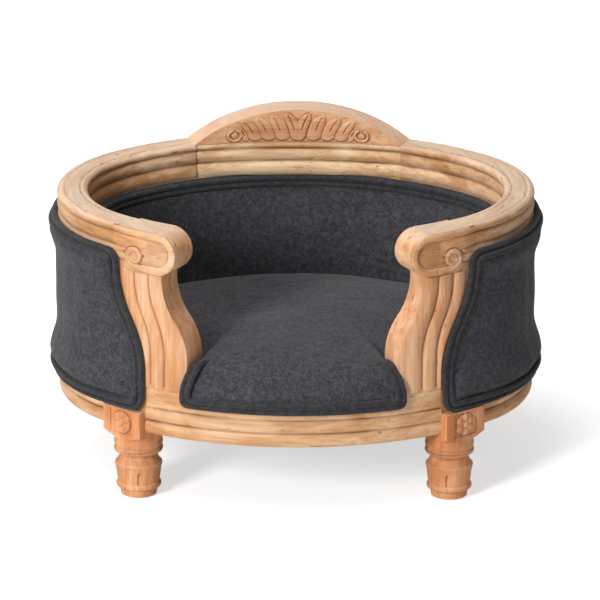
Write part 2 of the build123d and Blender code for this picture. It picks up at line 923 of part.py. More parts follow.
# Inside of the wall: foam on the inner board, and its cover
def wall_line(radius, skin):
    """The crowned face of the inner wall, moved back by a skin."""
    Spline(
        (radius - wall_foot_inset + skin, rail_top + soft_gap),
        (radius - wall_crown_inset + skin, wall_crown_height),
        (radius - wall_top_inset + skin, foam_top),
    )


def wall_foam_section(radius):
    skin = cover_thickness + soft_gap
    back = radius - inner_panel_inset - soft_gap
    high = top_rail_underside - soft_gap
    with BuildLine() as outline:
        wall_line(radius, skin)
        Polyline(
            (radius - wall_top_inset + skin, foam_top),
            (radius - rail_width, foam_top),
            (radius - rail_width, high),
            (back, high),
            (back, rail_top + soft_gap),
            (radius - wall_foot_inset + skin, rail_top + soft_gap),
        )
    make_face(outline.edges())


def wall_cover_section(radius):
    with BuildLine() as outline:
        wall_line(radius, 0)
        wall_line(radius, cover_thickness)
        for inset, height in ((wall_foot_inset, rail_top + soft_gap), (wall_top_inset, foam_top)):
            Line((radius - inset, height), (radius - inset + cover_thickness, height))
    make_face(outline.edges())


for label, section, shift in (
    ("wall_foam", wall_foam_section, 2 * welt_radius),
    ("wall_cover", wall_cover_section, welt_radius),
):
    with BuildPart() as lining:
        run(section, half_ring(post_foot_angle, 0))
        with BuildSketch(scroll_face):
            outline_beyond(post_top_edge, post_belly_edge, ogee_top, ogee_low, shift)
        extrude(amount=side_radius / 4, both=True, mode=Mode.SUBTRACT)
        post_side = block_section(0, rail_width + soft_gap, rail_bottom, top_rail_top)
        run(post_side, [(front_arc, -90, post_edge_angle - 90)], mode=Mode.SUBTRACT)
        mirror(about=Plane.YZ)
    save(lining, label)


# Seat base: a plywood deck on the leg blocks and on cleats screwed inside the ring
with BuildPart() as seat_deck:
    with BuildSketch(Plane.XY.offset(block_top)):
        oval(rail_width + deck_gap)
    extrude(amount=deck_thickness)

with BuildPart() as deck_cleats:
    cleat = block_section(rail_width, rail_width + cleat_width, block_top - cleat_height, block_top)
    run(cleat, half_ring(0, 0))
    mirror(about=Plane.YZ)
    with BuildSketch(leg_plane(0)) as leg_bay:
        Rectangle(leg_block_width + 2 * cleat_end_gap, leg_block_width + 2 * cleat_end_gap)
    bays = extrude(leg_bay.sketch, amount=top_rail_top, mode=Mode.PRIVATE)
    for flips in ([], [Plane.YZ], [Plane.XZ], [Plane.YZ, Plane.XZ]):
        bay = bays
        for flip in flips:
            bay = bay.mirror(flip)
        add(bay, mode=Mode.SUBTRACT)

screw_inset = rail_width + cleat_width / 2
screw_spots = [
    (0, screw_inset - half_depth),
    (0, half_depth - screw_inset),
    (half_length - screw_inset, 0),
    (screw_inset - half_length, 0),
]
for angle in (20, -20):
    x, y, _ = front_point(angle, screw_inset)
    screw_spots += [(x, y), (x, -y)]


def screws(play):
    """Countersunk screws down through the deck into the cleats."""
    with BuildPart() as screw_set:
        with BuildSketch(Plane.XY.offset(deck_top - screw_length - play)):
            with Locations(*screw_spots):
                Circle(screw_radius + play)
        extrude(amount=screw_length + play)
        for spot in screw_spots:
            with BuildSketch(Plane(origin=(*spot, 0), x_dir=(1, 0, 0), z_dir=(0, -1, 0))):
                with BuildLine():
                    Polyline(
                        (0, deck_top - screw_head_height),
                        (screw_radius + play, deck_top - screw_head_height),
                        (screw_head_radius + play, deck_top),
                        (0, deck_top),
                        close=True,
                    )
                make_face()
            revolve(axis=Axis((*spot, 0), up))
    return screw_set


screw_holes = screws(peg_play)
deck_screws = screws(0)
save(deck_screws, "deck_screws")
for piece, label in ((seat_deck, "seat_deck"), (deck_cleats, "deck_cleats")):
    with BuildPart() as bored:
        add(piece.part)
        add(screw_holes.part, mode=Mode.SUBTRACT)
    save(bored, label)

with BuildPart() as dust_cover:
    with BuildSketch(Plane.XY.offset(rail_bottom - dust_thickness)):
        oval(dust_inset)
        for side, end in ((1, 1), (-1, 1), (1, -1), (-1, -1)):
            with Locations(Location((leg_x * side, leg_y * end, 0), (0, 0, leg_turn * side * end))):
                opening = leg_block_width + 2 * soft_gap
                Rectangle(opening, opening, mode=Mode.SUBTRACT)
    extrude(amount=dust_thickness)
save(dust_cover, "dust_cover")

# Seat: foam and cover, crowned, drawn down at the walls and rolled over the front rail
seat_inset = wall_crown_inset + seat_wall_gap
seat_core_inset = seat_inset + seat_crown_run
seat_floor = deck_top + soft_gap
seat_face_inset = band_setback - soft_gap - cover_thickness
foot_rise = ogee_low - rail_top
foot_lean = atan2(post_foot_edge - post_belly_edge, foot_rise)
foot_bulge = hypot(post_foot_edge - post_belly_edge, foot_rise) / 2 * tan(foot_lean / 2)
seat_end_shift = (2 * welt_radius + 2 * soft_gap + foot_bulge) / cos(foot_lean)
seat_corner_edge = post_belly_edge + welt_radius - 2 * soft_gap
seat_corner_angle = scroll_angle + degrees(asin(seat_corner_edge / post_back_radius))


def seat_edge(radius, inset, height, roll, skin):
    """The seat's crown and rolled edge in section, drawn in by a skin."""
    edge = radius - inset - skin
    turn = roll - skin
    slope = 2 * atan2(seat_crown_height - height, seat_core_inset - inset - roll)
    knee = (edge - turn + turn * sin(slope), height - roll + turn * cos(slope))
    arc_along((edge, height - roll), knee, (0, 1))
    arc_along((radius - seat_core_inset, seat_crown_height - skin), knee, (1, 0))


def seat_wall_section(skin, height=seat_edge_height):
    """The seat's section where it meets the wall."""

    def section(radius):
        core = radius - seat_core_inset
        edge = radius - seat_inset - skin
        with BuildLine() as outline:
            Polyline(
                (core, seat_crown_height - skin),
                (core, seat_floor),
                (edge, seat_floor),
                (edge, height - seat_edge_roll),
            )
            seat_edge(radius, seat_inset, height, seat_edge_roll, skin)
        make_face(outline.edges())

    return section


def seat_front_section(skin):
    """The seat's section in the opening, where it rolls over the front rail."""

    def section(radius):
        core = radius - seat_core_inset
        rail_side = radius - rail_width - soft_gap
        edge = radius - seat_face_inset - skin
        with BuildLine() as outline:
            Polyline(
                (core, seat_crown_height - skin),
                (core, seat_floor),
                (rail_side, seat_floor),
                (rail_side, rail_top + soft_gap),
                (edge, rail_top + soft_gap),
                (edge, seat_front_height - seat_front_roll),
            )
            seat_edge(radius, seat_face_inset, seat_front_height, seat_front_roll, skin)
        make_face(outline.edges())

    return section


def post_side(shift, depth):
    """All beyond the post's foot line moved by a shift, down to a depth behind the scroll."""
    with BuildPart() as region:
        with BuildSketch(scroll_face.offset(-depth)):
            with BuildLine():
                low = post_foot_edge - shift + tan(foot_lean) * (rail_top - block_top)
                high = post_belly_edge - shift - tan(foot_lean) * (top_rail_top - ogee_low)
                Polyline(
                    (low, block_top),
                    (post_outer_edge, block_top),
                    (post_outer_edge, top_rail_top),
                    (high, top_rail_top),
                    close=True,
                )
            make_face()
        extrude(amount=depth + overrun)
    return region.part


def seat_body(skin):
    """The whole seat as one solid, drawn in by a skin."""
    with BuildPart() as front:
        run(seat_front_section(skin), [(front_arc, -90, seat_blend_start - 90)])
        add(post_side(seat_end_shift + skin, rail_width + seat_blend_depth), mode=Mode.SUBTRACT)
        wall_side = block_section(-overrun, seat_inset + skin, seat_floor, top_rail_top)
        wall_start = seat_corner_angle - degrees(skin / side_radius) - 90
        run(wall_side, [(front_arc, wall_start, seat_blend_start - 90)], mode=Mode.SUBTRACT)
    with BuildPart() as body:
        with BuildSketch(Plane.XY.offset(seat_floor)):
            oval(seat_core_inset)
        extrude(amount=seat_crown_height - skin - seat_floor)
        for angle, height in ((seat_blend_start, seat_front_height), (seat_blend_stop, seat_edge_height)):
            with BuildSketch(standing(front_arc[0], angle - 90)):
                seat_wall_section(skin, height)(side_radius)
        loft(ruled=True)
        run(seat_wall_section(skin), half_ring(seat_blend_stop, 0))
        add(front.part)
        mirror(about=Plane.YZ)
    return body.part


cover_body = seat_body(0)
hollow = seat_body(cover_thickness)
with BuildPart() as seat_cover:
    add(cover_body)
    add(hollow, mode=Mode.SUBTRACT)
save(seat_cover, "seat_cover")

with BuildPart() as seat_foam:
    add(seat_body(cover_thickness + soft_gap))
save(seat_foam, "seat_foam")


# Double welts: two cords side by side over each staple line
def cord_round(offset, height, start):
    """A cord round the sides and the back, from one side of the front to the other."""
    span = 180 - 2 * join_angle
    with BuildLine(Plane.XY.offset(height)) as path:
        CenterArc(front_arc[0], side_radius + offset, start - 90, join_angle - start)
        CenterArc(right_arc[0], end_radius + offset, join_angle - 90, span)
        CenterArc(back_arc[0], side_radius + offset, 90 - join_angle, 2 * join_angle)
        CenterArc((-end_centre, 0), end_radius + offset, 90 + join_angle, span)
        CenterArc(front_arc[0], side_radius + offset, 270 - join_angle, join_angle - start)
    with BuildSketch(standing(front_arc[0], start - 90)) as end:
        with Locations((side_radius + offset, height)):
            Circle(welt_radius)
    sweep(end.sketch, path=path.line)


stand = welt_radius + soft_gap
front_stand = stand - band_setback
line_start = scroll_angle + degrees(asin(cover_edge_low / side_radius))
line_top_start = scroll_angle + degrees(asin(cover_edge_top / side_radius))

with BuildPart() as outer_welt:
    cord_round(stand, base_welt_height, line_start)
    cord_round(stand + welt_lean, base_welt_height + welt_pitch, line_start)
    cord_round(stand + welt_lean, top_welt_height, line_top_start)
    cord_round(stand, top_welt_height + welt_pitch, line_top_start)
    high = top_welt_height - stand
    low = base_welt_height + welt_pitch + stand
    top_edge, low_edge = cover_line_edges
    for shift in (welt_radius, welt_radius + welt_pitch):
        with BuildLine(cover_face.offset(front_stand)) as cord_line:
            Line((top_edge + shift, high), (top_edge + shift, cover_line_top))
            ogee(top_edge, low_edge, cover_line_top, cover_line_low, shift)
            Line((low_edge + shift, cover_line_low), (low_edge + shift, low))
        start = cover_face.from_local_coords(Vector(top_edge + shift, high, front_stand))
        with BuildSketch(Plane(origin=start, x_dir=cover_face.x_dir, z_dir=(0, 0, -1))) as cord_end:
            Circle(welt_radius)
        for side in (False, True):
            cord = sweep(cord_end.sketch, path=cord_line.line, mode=Mode.PRIVATE)
            add(cord.mirror(Plane.YZ) if side else cord)
save(outer_welt, "outer_welt")

wall_welt_angle = scroll_angle + degrees(asin(post_top_edge / side_radius))
with BuildPart() as wall_welt:
    for height in (wall_welt_height, wall_welt_height + welt_pitch):
        cord_round(-rail_width - stand, height, wall_welt_angle)
save(wall_welt, "wall_welt")

# The seat's welt turns up beside each post and follows the roll to the post's back corner
side_stand = front_stand + 2 * soft_gap
side_cord_edge = post_foot_edge - (foot_bulge + stand) / cos(foot_lean)
seat_cord_angle = scroll_angle + degrees(asin((side_cord_edge + welt_radius / 2) / side_radius))
side_cord_spot = front_point(scroll_angle + degrees(asin(side_cord_edge / side_radius)), 0)
lean_up = Vector(0, 0, 1) * cos(foot_lean) - scroll_face.x_dir * sin(foot_lean)
side_cord_origin = Vector(*side_cord_spot) + Vector(0, 0, rail_top)
side_cord_plane = Plane(
    origin=side_cord_origin, x_dir=scroll_face.z_dir, z_dir=scroll_face.z_dir.cross(lean_up)
)
with BuildPart() as seat_welt:
    for height in (seat_welt_height, seat_welt_height + welt_pitch):
        with BuildSketch(standing(front_arc[0], -90 - seat_cord_angle)) as cord_end:
            with Locations((side_radius + front_stand, height)):
                Circle(welt_radius)
        revolve(cord_end.sketch, Axis((*front_arc[0], 0), up), revolution_arc=2 * seat_cord_angle)
    start_height = (seat_welt_height - rail_top) / cos(foot_lean)
    bend_height = (seat_front_height - seat_front_roll - rail_top) / cos(foot_lean)
    with BuildLine(side_cord_plane) as cord_line:
        Line((side_stand, start_height), (side_stand, bend_height))
        arc_along(
            (side_stand, bend_height),
            (side_stand - seat_front_roll, bend_height + seat_front_roll),
            (0, 1),
        )
    start = side_cord_plane.from_local_coords(Vector(side_stand, start_height, 0))
    with BuildSketch(Plane(origin=start, x_dir=scroll_face.z_dir, z_dir=lean_up)) as cord_end:
        Circle(welt_radius)
    side_cord = sweep(cord_end.sketch, path=cord_line.line, mode=Mode.PRIVATE)
    for cord in (side_cord, side_cord.mirror(Plane.YZ)):
        add(cord)
    for x in (start.X, -start.X):
        with Locations((x, start.Y, start.Z)):
            Sphere(welt_radius)
save(seat_welt, "seat_welt")

# Dowels
for label, pegs in (
    ("leg_dowels", leg_pegs(0)),
    ("upright_dowels", upright_pegs(0)),
    ("post_dowels", post_pegs(0)),
    ("top_rail_dowels", top_pegs(0)),
    ("crest_dowels", crest_pegs(0)),
):
    with BuildPart() as dowels:
        add(pegs)
    save(dowels, label)
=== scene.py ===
from math import asin, atan2, cos, degrees, hypot, pi, radians, sin, sqrt

import bpy
import numpy as np
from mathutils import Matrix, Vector, noise


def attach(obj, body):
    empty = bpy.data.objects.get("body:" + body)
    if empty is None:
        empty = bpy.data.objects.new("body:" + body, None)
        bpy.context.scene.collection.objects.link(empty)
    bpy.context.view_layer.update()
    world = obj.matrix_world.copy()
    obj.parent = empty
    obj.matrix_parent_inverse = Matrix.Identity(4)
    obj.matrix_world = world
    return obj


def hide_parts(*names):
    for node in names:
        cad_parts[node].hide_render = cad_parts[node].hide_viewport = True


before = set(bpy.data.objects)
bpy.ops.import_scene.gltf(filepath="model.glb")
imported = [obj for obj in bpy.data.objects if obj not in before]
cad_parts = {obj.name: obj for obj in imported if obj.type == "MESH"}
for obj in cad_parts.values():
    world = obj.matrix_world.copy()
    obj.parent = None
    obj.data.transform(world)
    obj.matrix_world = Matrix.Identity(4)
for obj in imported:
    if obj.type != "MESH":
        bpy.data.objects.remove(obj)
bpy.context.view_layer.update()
bpy.ops.object.select_all(action="DESELECT")

# LEGS: four turned feet under square blocks, cut from a salmon-coloured hardwood such as
# beech, sanded and lightly oiled. The grain stands upright, and the turned hollows are
# darkened with painted shade.
mm = 0.001


def linear(code):
    """An sRGB hex value as the linear colour that a shader takes."""
    parts = [int(code[at : at + 2], 16) / 255 for at in (0, 2, 4)]
    return (*[part / 12.92 if part < 0.04045 else ((part + 0.055) / 1.055) ** 2.4 for part in parts], 1)


def put(tree, kind, inputs=None, out=0, **settings):
    """Add a shader node with its settings, its inputs set or linked, and give one output or all."""
    node = tree.nodes.new("ShaderNode" + kind)
    for name, value in settings.items():
        setattr(node, name, value)
    for name, value in (inputs or {}).items():
        if isinstance(value, bpy.types.NodeSocket):
            tree.links.new(value, node.inputs[name])
        else:
            node.inputs[name].default_value = value
    return node.outputs if out is None else node.outputs[out]


def new_material(name):
    """A material with its node tree, its shader and the object's coordinates."""
    material = bpy.data.materials.new(name)
    material.use_nodes = True
    tree = material.node_tree
    place = put(tree, "TexCoord", out="Object")
    return material, tree, tree.nodes["Principled BSDF"], place


def repeats(*sizes):
    """The scale of a pattern from its marks' size in millimetres, all ways alike or three sizes."""
    scales = [1 / (size * mm) for size in sizes]
    return scales if len(scales) > 1 else scales[0]


def drawn_out(tree, grain, sizes, **look):
    """Noise with marks of three sizes in millimetres: along the grain and both ways across it."""
    spread = put(tree, "VectorMath", {0: grain, 1: repeats(*sizes)}, operation="MULTIPLY")
    return put(tree, "TexNoise", {"Vector": spread, "Scale": 1, **look})


def sanded_wood(name, pale, tan, brown, upright, grooves=(), knots=0.5, groove_shade=0.55):
    """Bare sanded hardwood: matt and streaked, with its grain upright or following the oval."""
    material, tree, surface, place = new_material(name)
    x, y, z = put(tree, "SeparateXYZ", {0: place}, out=None)
    if upright:
        grain = put(tree, "CombineXYZ", {0: z, 1: x, 2: y})
    else:
        # Distance along the oval, the same on both sides, then made unlike by a slant
        mean_radius, slant = 250 * mm, 0.11
        off_middle = put(tree, "Math", {0: x}, operation="ABSOLUTE")
        turn = put(tree, "Math", {0: y, 1: off_middle}, operation="ARCTAN2")
        along = put(tree, "Math", {0: turn, 1: mean_radius}, operation="MULTIPLY")
        flat = put(tree, "VectorMath", {0: place, 1: (1, 1, 0)}, operation="MULTIPLY")
        away = put(tree, "VectorMath", {0: flat}, out=1, operation="LENGTH")
        slanted = put(tree, "Math", {0: x, 1: slant, 2: away}, operation="MULTIPLY_ADD")
        grain = put(tree, "CombineXYZ", {0: along, 1: slanted, 2: z})

    # Growth streaks 5 mm wide and a hand long, over broad patches of paler and redder wood.
    # A map range reads from 1 to 2 and gives 3 to 4, and a mix has its colours at 6 and 7.
    streak = drawn_out(tree, grain, (90.9, 5, 5), Detail=5, Roughness=0.62)
    patch = drawn_out(tree, grain, (111.1, 33.3, 33.3), Detail=3, Distortion=0.6)
    patch_share = put(tree, "MapRange", {0: patch, 1: 0.36, 2: 0.64})
    streak_share = put(tree, "MapRange", {0: streak, 1: 0.45, 2: 0.75, 4: 0.6})
    body = put(tree, "Mix", {0: patch_share, 6: linear(pale), 7: linear(tan)}, out=2, data_type="RGBA")
    grained = put(tree, "Mix", {0: streak_share, 6: body, 7: linear(brown)}, out=2, data_type="RGBA")

    # Short dark checks along the grain, and pin knots 3 mm across and 48 mm apart
    knot_radius, knot_core = 0.075, 0.035
    check = drawn_out(tree, grain, (26.3, 4.35, 4.35), Detail=2, Distortion=0.9)
    check_share = put(tree, "MapRange", {0: check, 1: 0.66, 2: 0.74, 4: knots})
    knot = put(tree, "TexVoronoi", {"Vector": place, "Scale": repeats(47.6)})
    knot_share = put(tree, "MapRange", {0: knot, 1: knot_radius, 2: knot_core, 4: knots})
    flaws_and_groove_shade = put(tree, "Math", {0: check_share, 1: knot_share}, operation="MAXIMUM")
    # Painted shade in the turned or moulded grooves, 5 mm wide and uneven along them
    for height in grooves:
        level = put(tree, "Math", {0: z, 1: height * mm}, operation="SUBTRACT")
        off = put(tree, "Math", {0: level}, operation="ABSOLUTE")
        near = put(tree, "MapRange", {0: off, 1: 2.4 * mm, 2: 0.3 * mm, 4: groove_shade})
        uneven = put(tree, "Math", {0: near, 1: patch_share}, operation="MULTIPLY")
        lined = put(tree, "Math", {0: near, 1: 0.4, 2: uneven}, operation="MULTIPLY_ADD")
        flaws_and_groove_shade = put(tree, "Math", {0: flaws_and_groove_shade, 1: lined}, operation="MAXIMUM")
    # Painted highlight: the wood that faces up is mixed towards a pale tone, the more the more it faces up
    normal = put(tree, "TexCoord", out="Normal")
    facing_up = put(tree, "SeparateXYZ", {0: normal}, out=2)
    top_highlight = put(tree, "MapRange", {0: facing_up, 1: 0.5, 2: 0.98, 4: 0.42})
    sanded = put(tree, "Mix", {0: top_highlight, 6: grained, 7: linear("ecdac6")}, out=2, data_type="RGBA")
    finished = put(tree, "Mix", {0: flaws_and_groove_shade, 6: sanded, 7: linear("5a3218")}, out=2, data_type="RGBA")
    tree.links.new(finished, surface.inputs["Base Color"])
    # The brown streaks are a little rougher, and the flaws and the painted groove shade lie deeper
    rough = put(tree, "MapRange", {0: streak, 3: 0.52, 4: 0.7})
    tree.links.new(rough, surface.inputs["Roughness"])
    surface.inputs["Specular IOR Level"].default_value = 0.35
    fine = put(tree, "Math", {0: streak, 1: flaws_and_groove_shade}, operation="SUBTRACT")
    bump = put(tree, "Bump", {"Height": fine, "Strength": 0.35, "Distance": 0.5 * mm})
    tree.links.new(bump, surface.inputs["Normal"])
    return material


def finish_nodes(material, *names):
    """Give CAD nodes a material."""
    for name in names:
        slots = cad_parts[name].data.materials
        slots.clear()
        slots.append(material)


leg_wood = sanded_wood("oiled beech", "ecb081", "d38b58", "a06238", True, (11.8, 57.0, 66.0), 0.25, 0.3)
leg_names = ("leg_front_right", "leg_front_left", "leg_back_right", "leg_back_left")
finish_nodes(leg_wood, *leg_names)

# ROSETTES: a six-petalled flower carved in the sunk square of each leg's block. The petals
# are small domes round a button, cut with a gouge from the same wood. The ground between
# them is a darker copy of the wood, as painted shade behind the petals.
leg_x, leg_y, leg_turn = 202.1, 148.2, 40.5
block_half, field_depth, rosette_height = 32.0, 1.4, 107.0
ground_size, ground_sink = Vector((16.2, 1.7, 16.2)), 0.7
petal_size, petal_reach = Vector((5.5, 3.4, 6.1)), 9.75
button_size = Vector((5.0, 4.1, 5.0))


def carve(name, material):
    """Finish the active object as a piece of the bed: its place in its mesh, its finish and its body."""
    piece = bpy.context.object
    piece.name = name
    piece.data.name = name
    piece.data.materials.clear()
    piece.data.materials.append(material)
    bpy.ops.object.transform_apply(location=True, rotation=True, scale=True)
    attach(piece, "root")
    bpy.ops.object.select_all(action="DESELECT")
    return piece


# Painted shade: the sunk ground gets a darker copy of the wood
shaded_ground_wood = sanded_wood("beech, ground in painted shade", "b6744a", "9c6039", "7a4624", True, knots=0.3)
for name in leg_names:
    side = 1 if name.endswith("right") else -1
    end = -1 if "front" in name else 1
    face = Vector((sin(radians(leg_turn)) * side, cos(radians(leg_turn)) * end, 0))
    across = Vector((-face.y, face.x, 0))
    block_turn = atan2(across.y, across.x)
    middle = Vector((leg_x * side, leg_y * end, rosette_height)) + face * (block_half - field_depth)
    place = (middle - face * ground_sink) * mm
    bpy.ops.mesh.primitive_uv_sphere_add(segments=36, ring_count=18, radius=1, location=place)
    ground = bpy.context.object
    ground.scale = ground_size * mm
    ground.rotation_euler = (0, 0, block_turn)
    bpy.ops.object.shade_smooth()
    carve(name.replace("leg", "rosette_ground"), shaded_ground_wood)
    domes = []
    for count in range(7):
        reach = petal_reach if count else 0
        turn = radians(60 * count)
        place = (middle + across * reach * sin(turn) + Vector((0, 0, reach * cos(turn)))) * mm
        bpy.ops.mesh.primitive_uv_sphere_add(segments=20, ring_count=12, radius=1, location=place)
        dome = bpy.context.object
        dome.scale = (petal_size if count else button_size) * mm
        dome.rotation_euler = (0, turn, block_turn)
        domes.append(dome)
    for dome in domes:
        dome.select_set(True)
    bpy.context.view_layer.objects.active = domes[0]
    bpy.ops.object.join()
    bpy.ops.object.shade_smooth()
    carve(name.replace("leg", "rosette"), leg_wood)

# BASE RING: four rails with two round beads below a plain band, spindle-moulded from pale
# ash and sanded. Painted shade in the grooves shows as thin brown lines.
base_wood = sanded_wood("sanded ash, base rails", "e8be94", "d09866", "9f6339", False, (115.3, 133.6), 0.55)
finish_nodes(base_wood, "front_rail", "back_base_rail", "right_base_rail", "left_base_rail")

# FRAME INSIDE: uprights and cleats of rough pine, bent boards and a deck of birch plywood,
# beech dowels and zinc-plated screws. Almost nothing of them shows.
pine = sanded_wood("rough pine", "dcc39a", "c9a878", "9c7548", True, knots=0.7)
finish_nodes(pine, "wall_uprights", "deck_cleats")
beech_dowel = sanded_wood("beech dowel", "dfc29a", "d0ac80", "ab8254", True, knots=0.0)
finish_nodes(beech_dowel, "leg_dowels", "upright_dowels", "post_dowels", "top_rail_dowels", "crest_dowels")

# Peeled birch veneer is pale and matt, with long soft bands 6 mm wide
plywood, tree, surface, place = new_material("birch plywood")
veneer = drawn_out(tree, place, (71.4, 6.25, 71.4), Detail=4)
birch = put(tree, "Mix", {0: veneer, 6: linear("dcc7a0"), 7: linear("b99a6c")}, out=2, data_type="RGBA")
tree.links.new(birch, surface.inputs["Base Color"])
surface.inputs["Roughness"].default_value = 0.7
finish_nodes(plywood, "seat_deck", "outer_panel", "inner_panel")


def mottled(name, kind, look, first, second, roughness):
    """A plain surface whose two colours are mixed by one pattern."""
    material, tree, surface, place = new_material(name)
    pattern = put(tree, kind, {"Vector": place, **look})
    mixed = put(tree, "Mix", {0: pattern, 6: linear(first), 7: linear(second)}, out=2, data_type="RGBA")
    tree.links.new(mixed, surface.inputs["Base Color"])
    surface.inputs["Roughness"].default_value = roughness
    return material


# Bright zinc is a soft grey mirror, clouded in spots 1 mm across
spots = {"Scale": repeats(1.11), "Detail": 2}
zinc = mottled("zinc-plated steel", "TexNoise", spots, "c9c6bb", "a5a39a", 0.35)
zinc.node_tree.nodes["Principled BSDF"].inputs["Metallic"].default_value = 1.0
finish_nodes(zinc, "deck_screws")

# UNDERSIDE: a black non-woven cloth stapled under the ring, and pressed felt glides. The
# cloth is dull black with paler bonding spots, the glides are dense matt brown wool.
bonding = {"Scale": repeats(2.38)}
underlining = mottled("black non-woven cloth", "TexVoronoi", bonding, "1a1a1b", "2a2a2b", 0.95)
finish_nodes(underlining, "dust_cover")
wool = {"Scale": repeats(1.43), "Detail": 3}
glide_felt = mottled("pressed brown felt", "TexNoise", wool, "5d5044", "463b32", 1.0)
finish_nodes(glide_felt, "leg_glides")

# ARM POSTS: planks sawn to an ogee, with three reeds run down the face by a gouge. The
# same pale wood, here with the grain upright, with painted shade in the reeds' recesses.
post_wood = sanded_wood("sanded ash, posts", "ecbd94", "d09060", "9c6039", True, knots=0.4)
finish_nodes(post_wood, "right_arm_post", "left_arm_post")

# OUTER COVER: charcoal wool felt 3 mm thick, stretched over the padding between the rings.
# It is hollow in the middle, rolls out over the padding at its head and foot, and its
# front edge follows the post's ogee.
end_centre, end_radius = 117.0, 195.0
side_radius, side_centre = 373.8, 135.2
join_angle = degrees(atan2(end_centre, side_centre))
scroll_angle = 29.5
cover_foot, cover_head = 140.6, 329.4
cover_profile = (
    (144.5, 6.0),
    (154.7, 12.0),
    (192.1, 2.5),
    (235.3, 2.5),
    (292.0, 2.5),
    (317.5, 9.6),
    (326.5, 8.4),
)
felt_thick, cord_clear, tuck_width = 3, 14.6, 16
side_cord_stand, corner_cord_stand = 1.8, 7.9
# An ogee line is given by its height and place across, at its head and at its foot
outer_ogee = (315.0, 185.0, 47.0, 8.0)


def oval_point(angle, offset, height):
    """A point beside the outline, where its outside faces an angle from the front's middle."""
    angle %= 360
    if angle < join_angle or angle > 360 - join_angle:
        centre, radius = (0, side_centre), side_radius
    elif angle < 180 - join_angle:
        centre, radius = (end_centre, 0), end_radius
    elif angle < 180 + join_angle:
        centre, radius = (0, -side_centre), side_radius
    else:
        centre, radius = (-end_centre, 0), end_radius
    turn = radians(angle)
    reach = radius + offset
    return Vector((centre[0] + reach * sin(turn), centre[1] - reach * cos(turn), height))


def opening_angle(across, inset=0):
    """The angle of a place so far across the flat of the scroll, on a line so deep inside the outline."""
    return scroll_angle + degrees(asin(across / (side_radius - inset)))


def ogee(height, top, low, top_across, low_across):
    """How far across an ogee line stands at a height."""
    share = min(max((height - low) / (top - low), 0), 1)
    swing = 2 * share**2 if share < 0.5 else 1 - 2 * (1 - share) ** 2
    return low_across + (top_across - low_across) * swing


def post_edge(height):
    """How far across the outer edge of a post stands."""
    return ogee(height, *outer_ogee)


def beside_post(height, gap):
    """How far across a line stands that keeps a gap from the post's outer edge, also where that leans."""
    lean = 0.48 if 195 < height < 305 else 0.0
    return post_edge(height) + gap * hypot(1, lean)


def eased(share):
    """A slow start and stop between 0 and 1."""
    share = np.clip(share, 0, 1)
    return share * share * (3 - 2 * share)


def side_stand(height, corner_stand):
    """How far a cord beside a post stands out: low between the corners, and rising into each."""
    rising = eased(max(height - 305, 165 - height) / 20)
    return side_cord_stand + (corner_stand - side_cord_stand) * rising


def between(knots, at):
    """A smooth line through knots of (place, value), read at a place."""
    for count in range(len(knots) - 1):
        if at <= knots[count + 1][0] or count == len(knots) - 2:
            break
    before = knots[max(count - 1, 0)]
    first, second = knots[count], knots[count + 1]
    after = knots[min(count + 2, len(knots) - 1)]
    span = second[0] - first[0]
    share = (at - first[0]) / span
    rise_in = (second[1] - before[1]) / (second[0] - before[0]) * span
    rise_out = (after[1] - first[1]) / (after[0] - first[0]) * span
    square, cube = share**2, share**3
    return (
        first[1] * (2 * cube - 3 * square + 1)
        + rise_in * (cube - 2 * square + share)
        + second[1] * (3 * square - 2 * cube)
        + rise_out * (cube - square)
    )


def felt_sheet(name, rows, closed=False):
    """A new object of quads through rows of points in millimetres."""
    wide = len(rows[0])
    faces = []
    for row in range(len(rows) - 1):
        for at in range(wide if closed else wide - 1):
            after = (at + 1) % wide
            low, high = row * wide, (row + 1) * wide
            faces.append((low + at, low + after, high + after, high + at))
    mesh = bpy.data.meshes.new(name)
    mesh.from_pydata([point * mm for row in rows for point in row], [], faces)
    sheet = bpy.data.objects.new(name, mesh)
    bpy.context.scene.collection.objects.link(sheet)
    bpy.context.view_layer.objects.active = sheet
    sheet.select_set(True)
    bpy.ops.object.shade_smooth()
    return sheet


def apply_modifier(piece, kind, **settings):
    """Add a modifier to the active piece and apply it."""
    change = piece.modifiers.new(kind, kind)
    for key, value in settings.items():
        setattr(change, key, value)
    bpy.ops.object.modifier_apply(modifier=change.name)


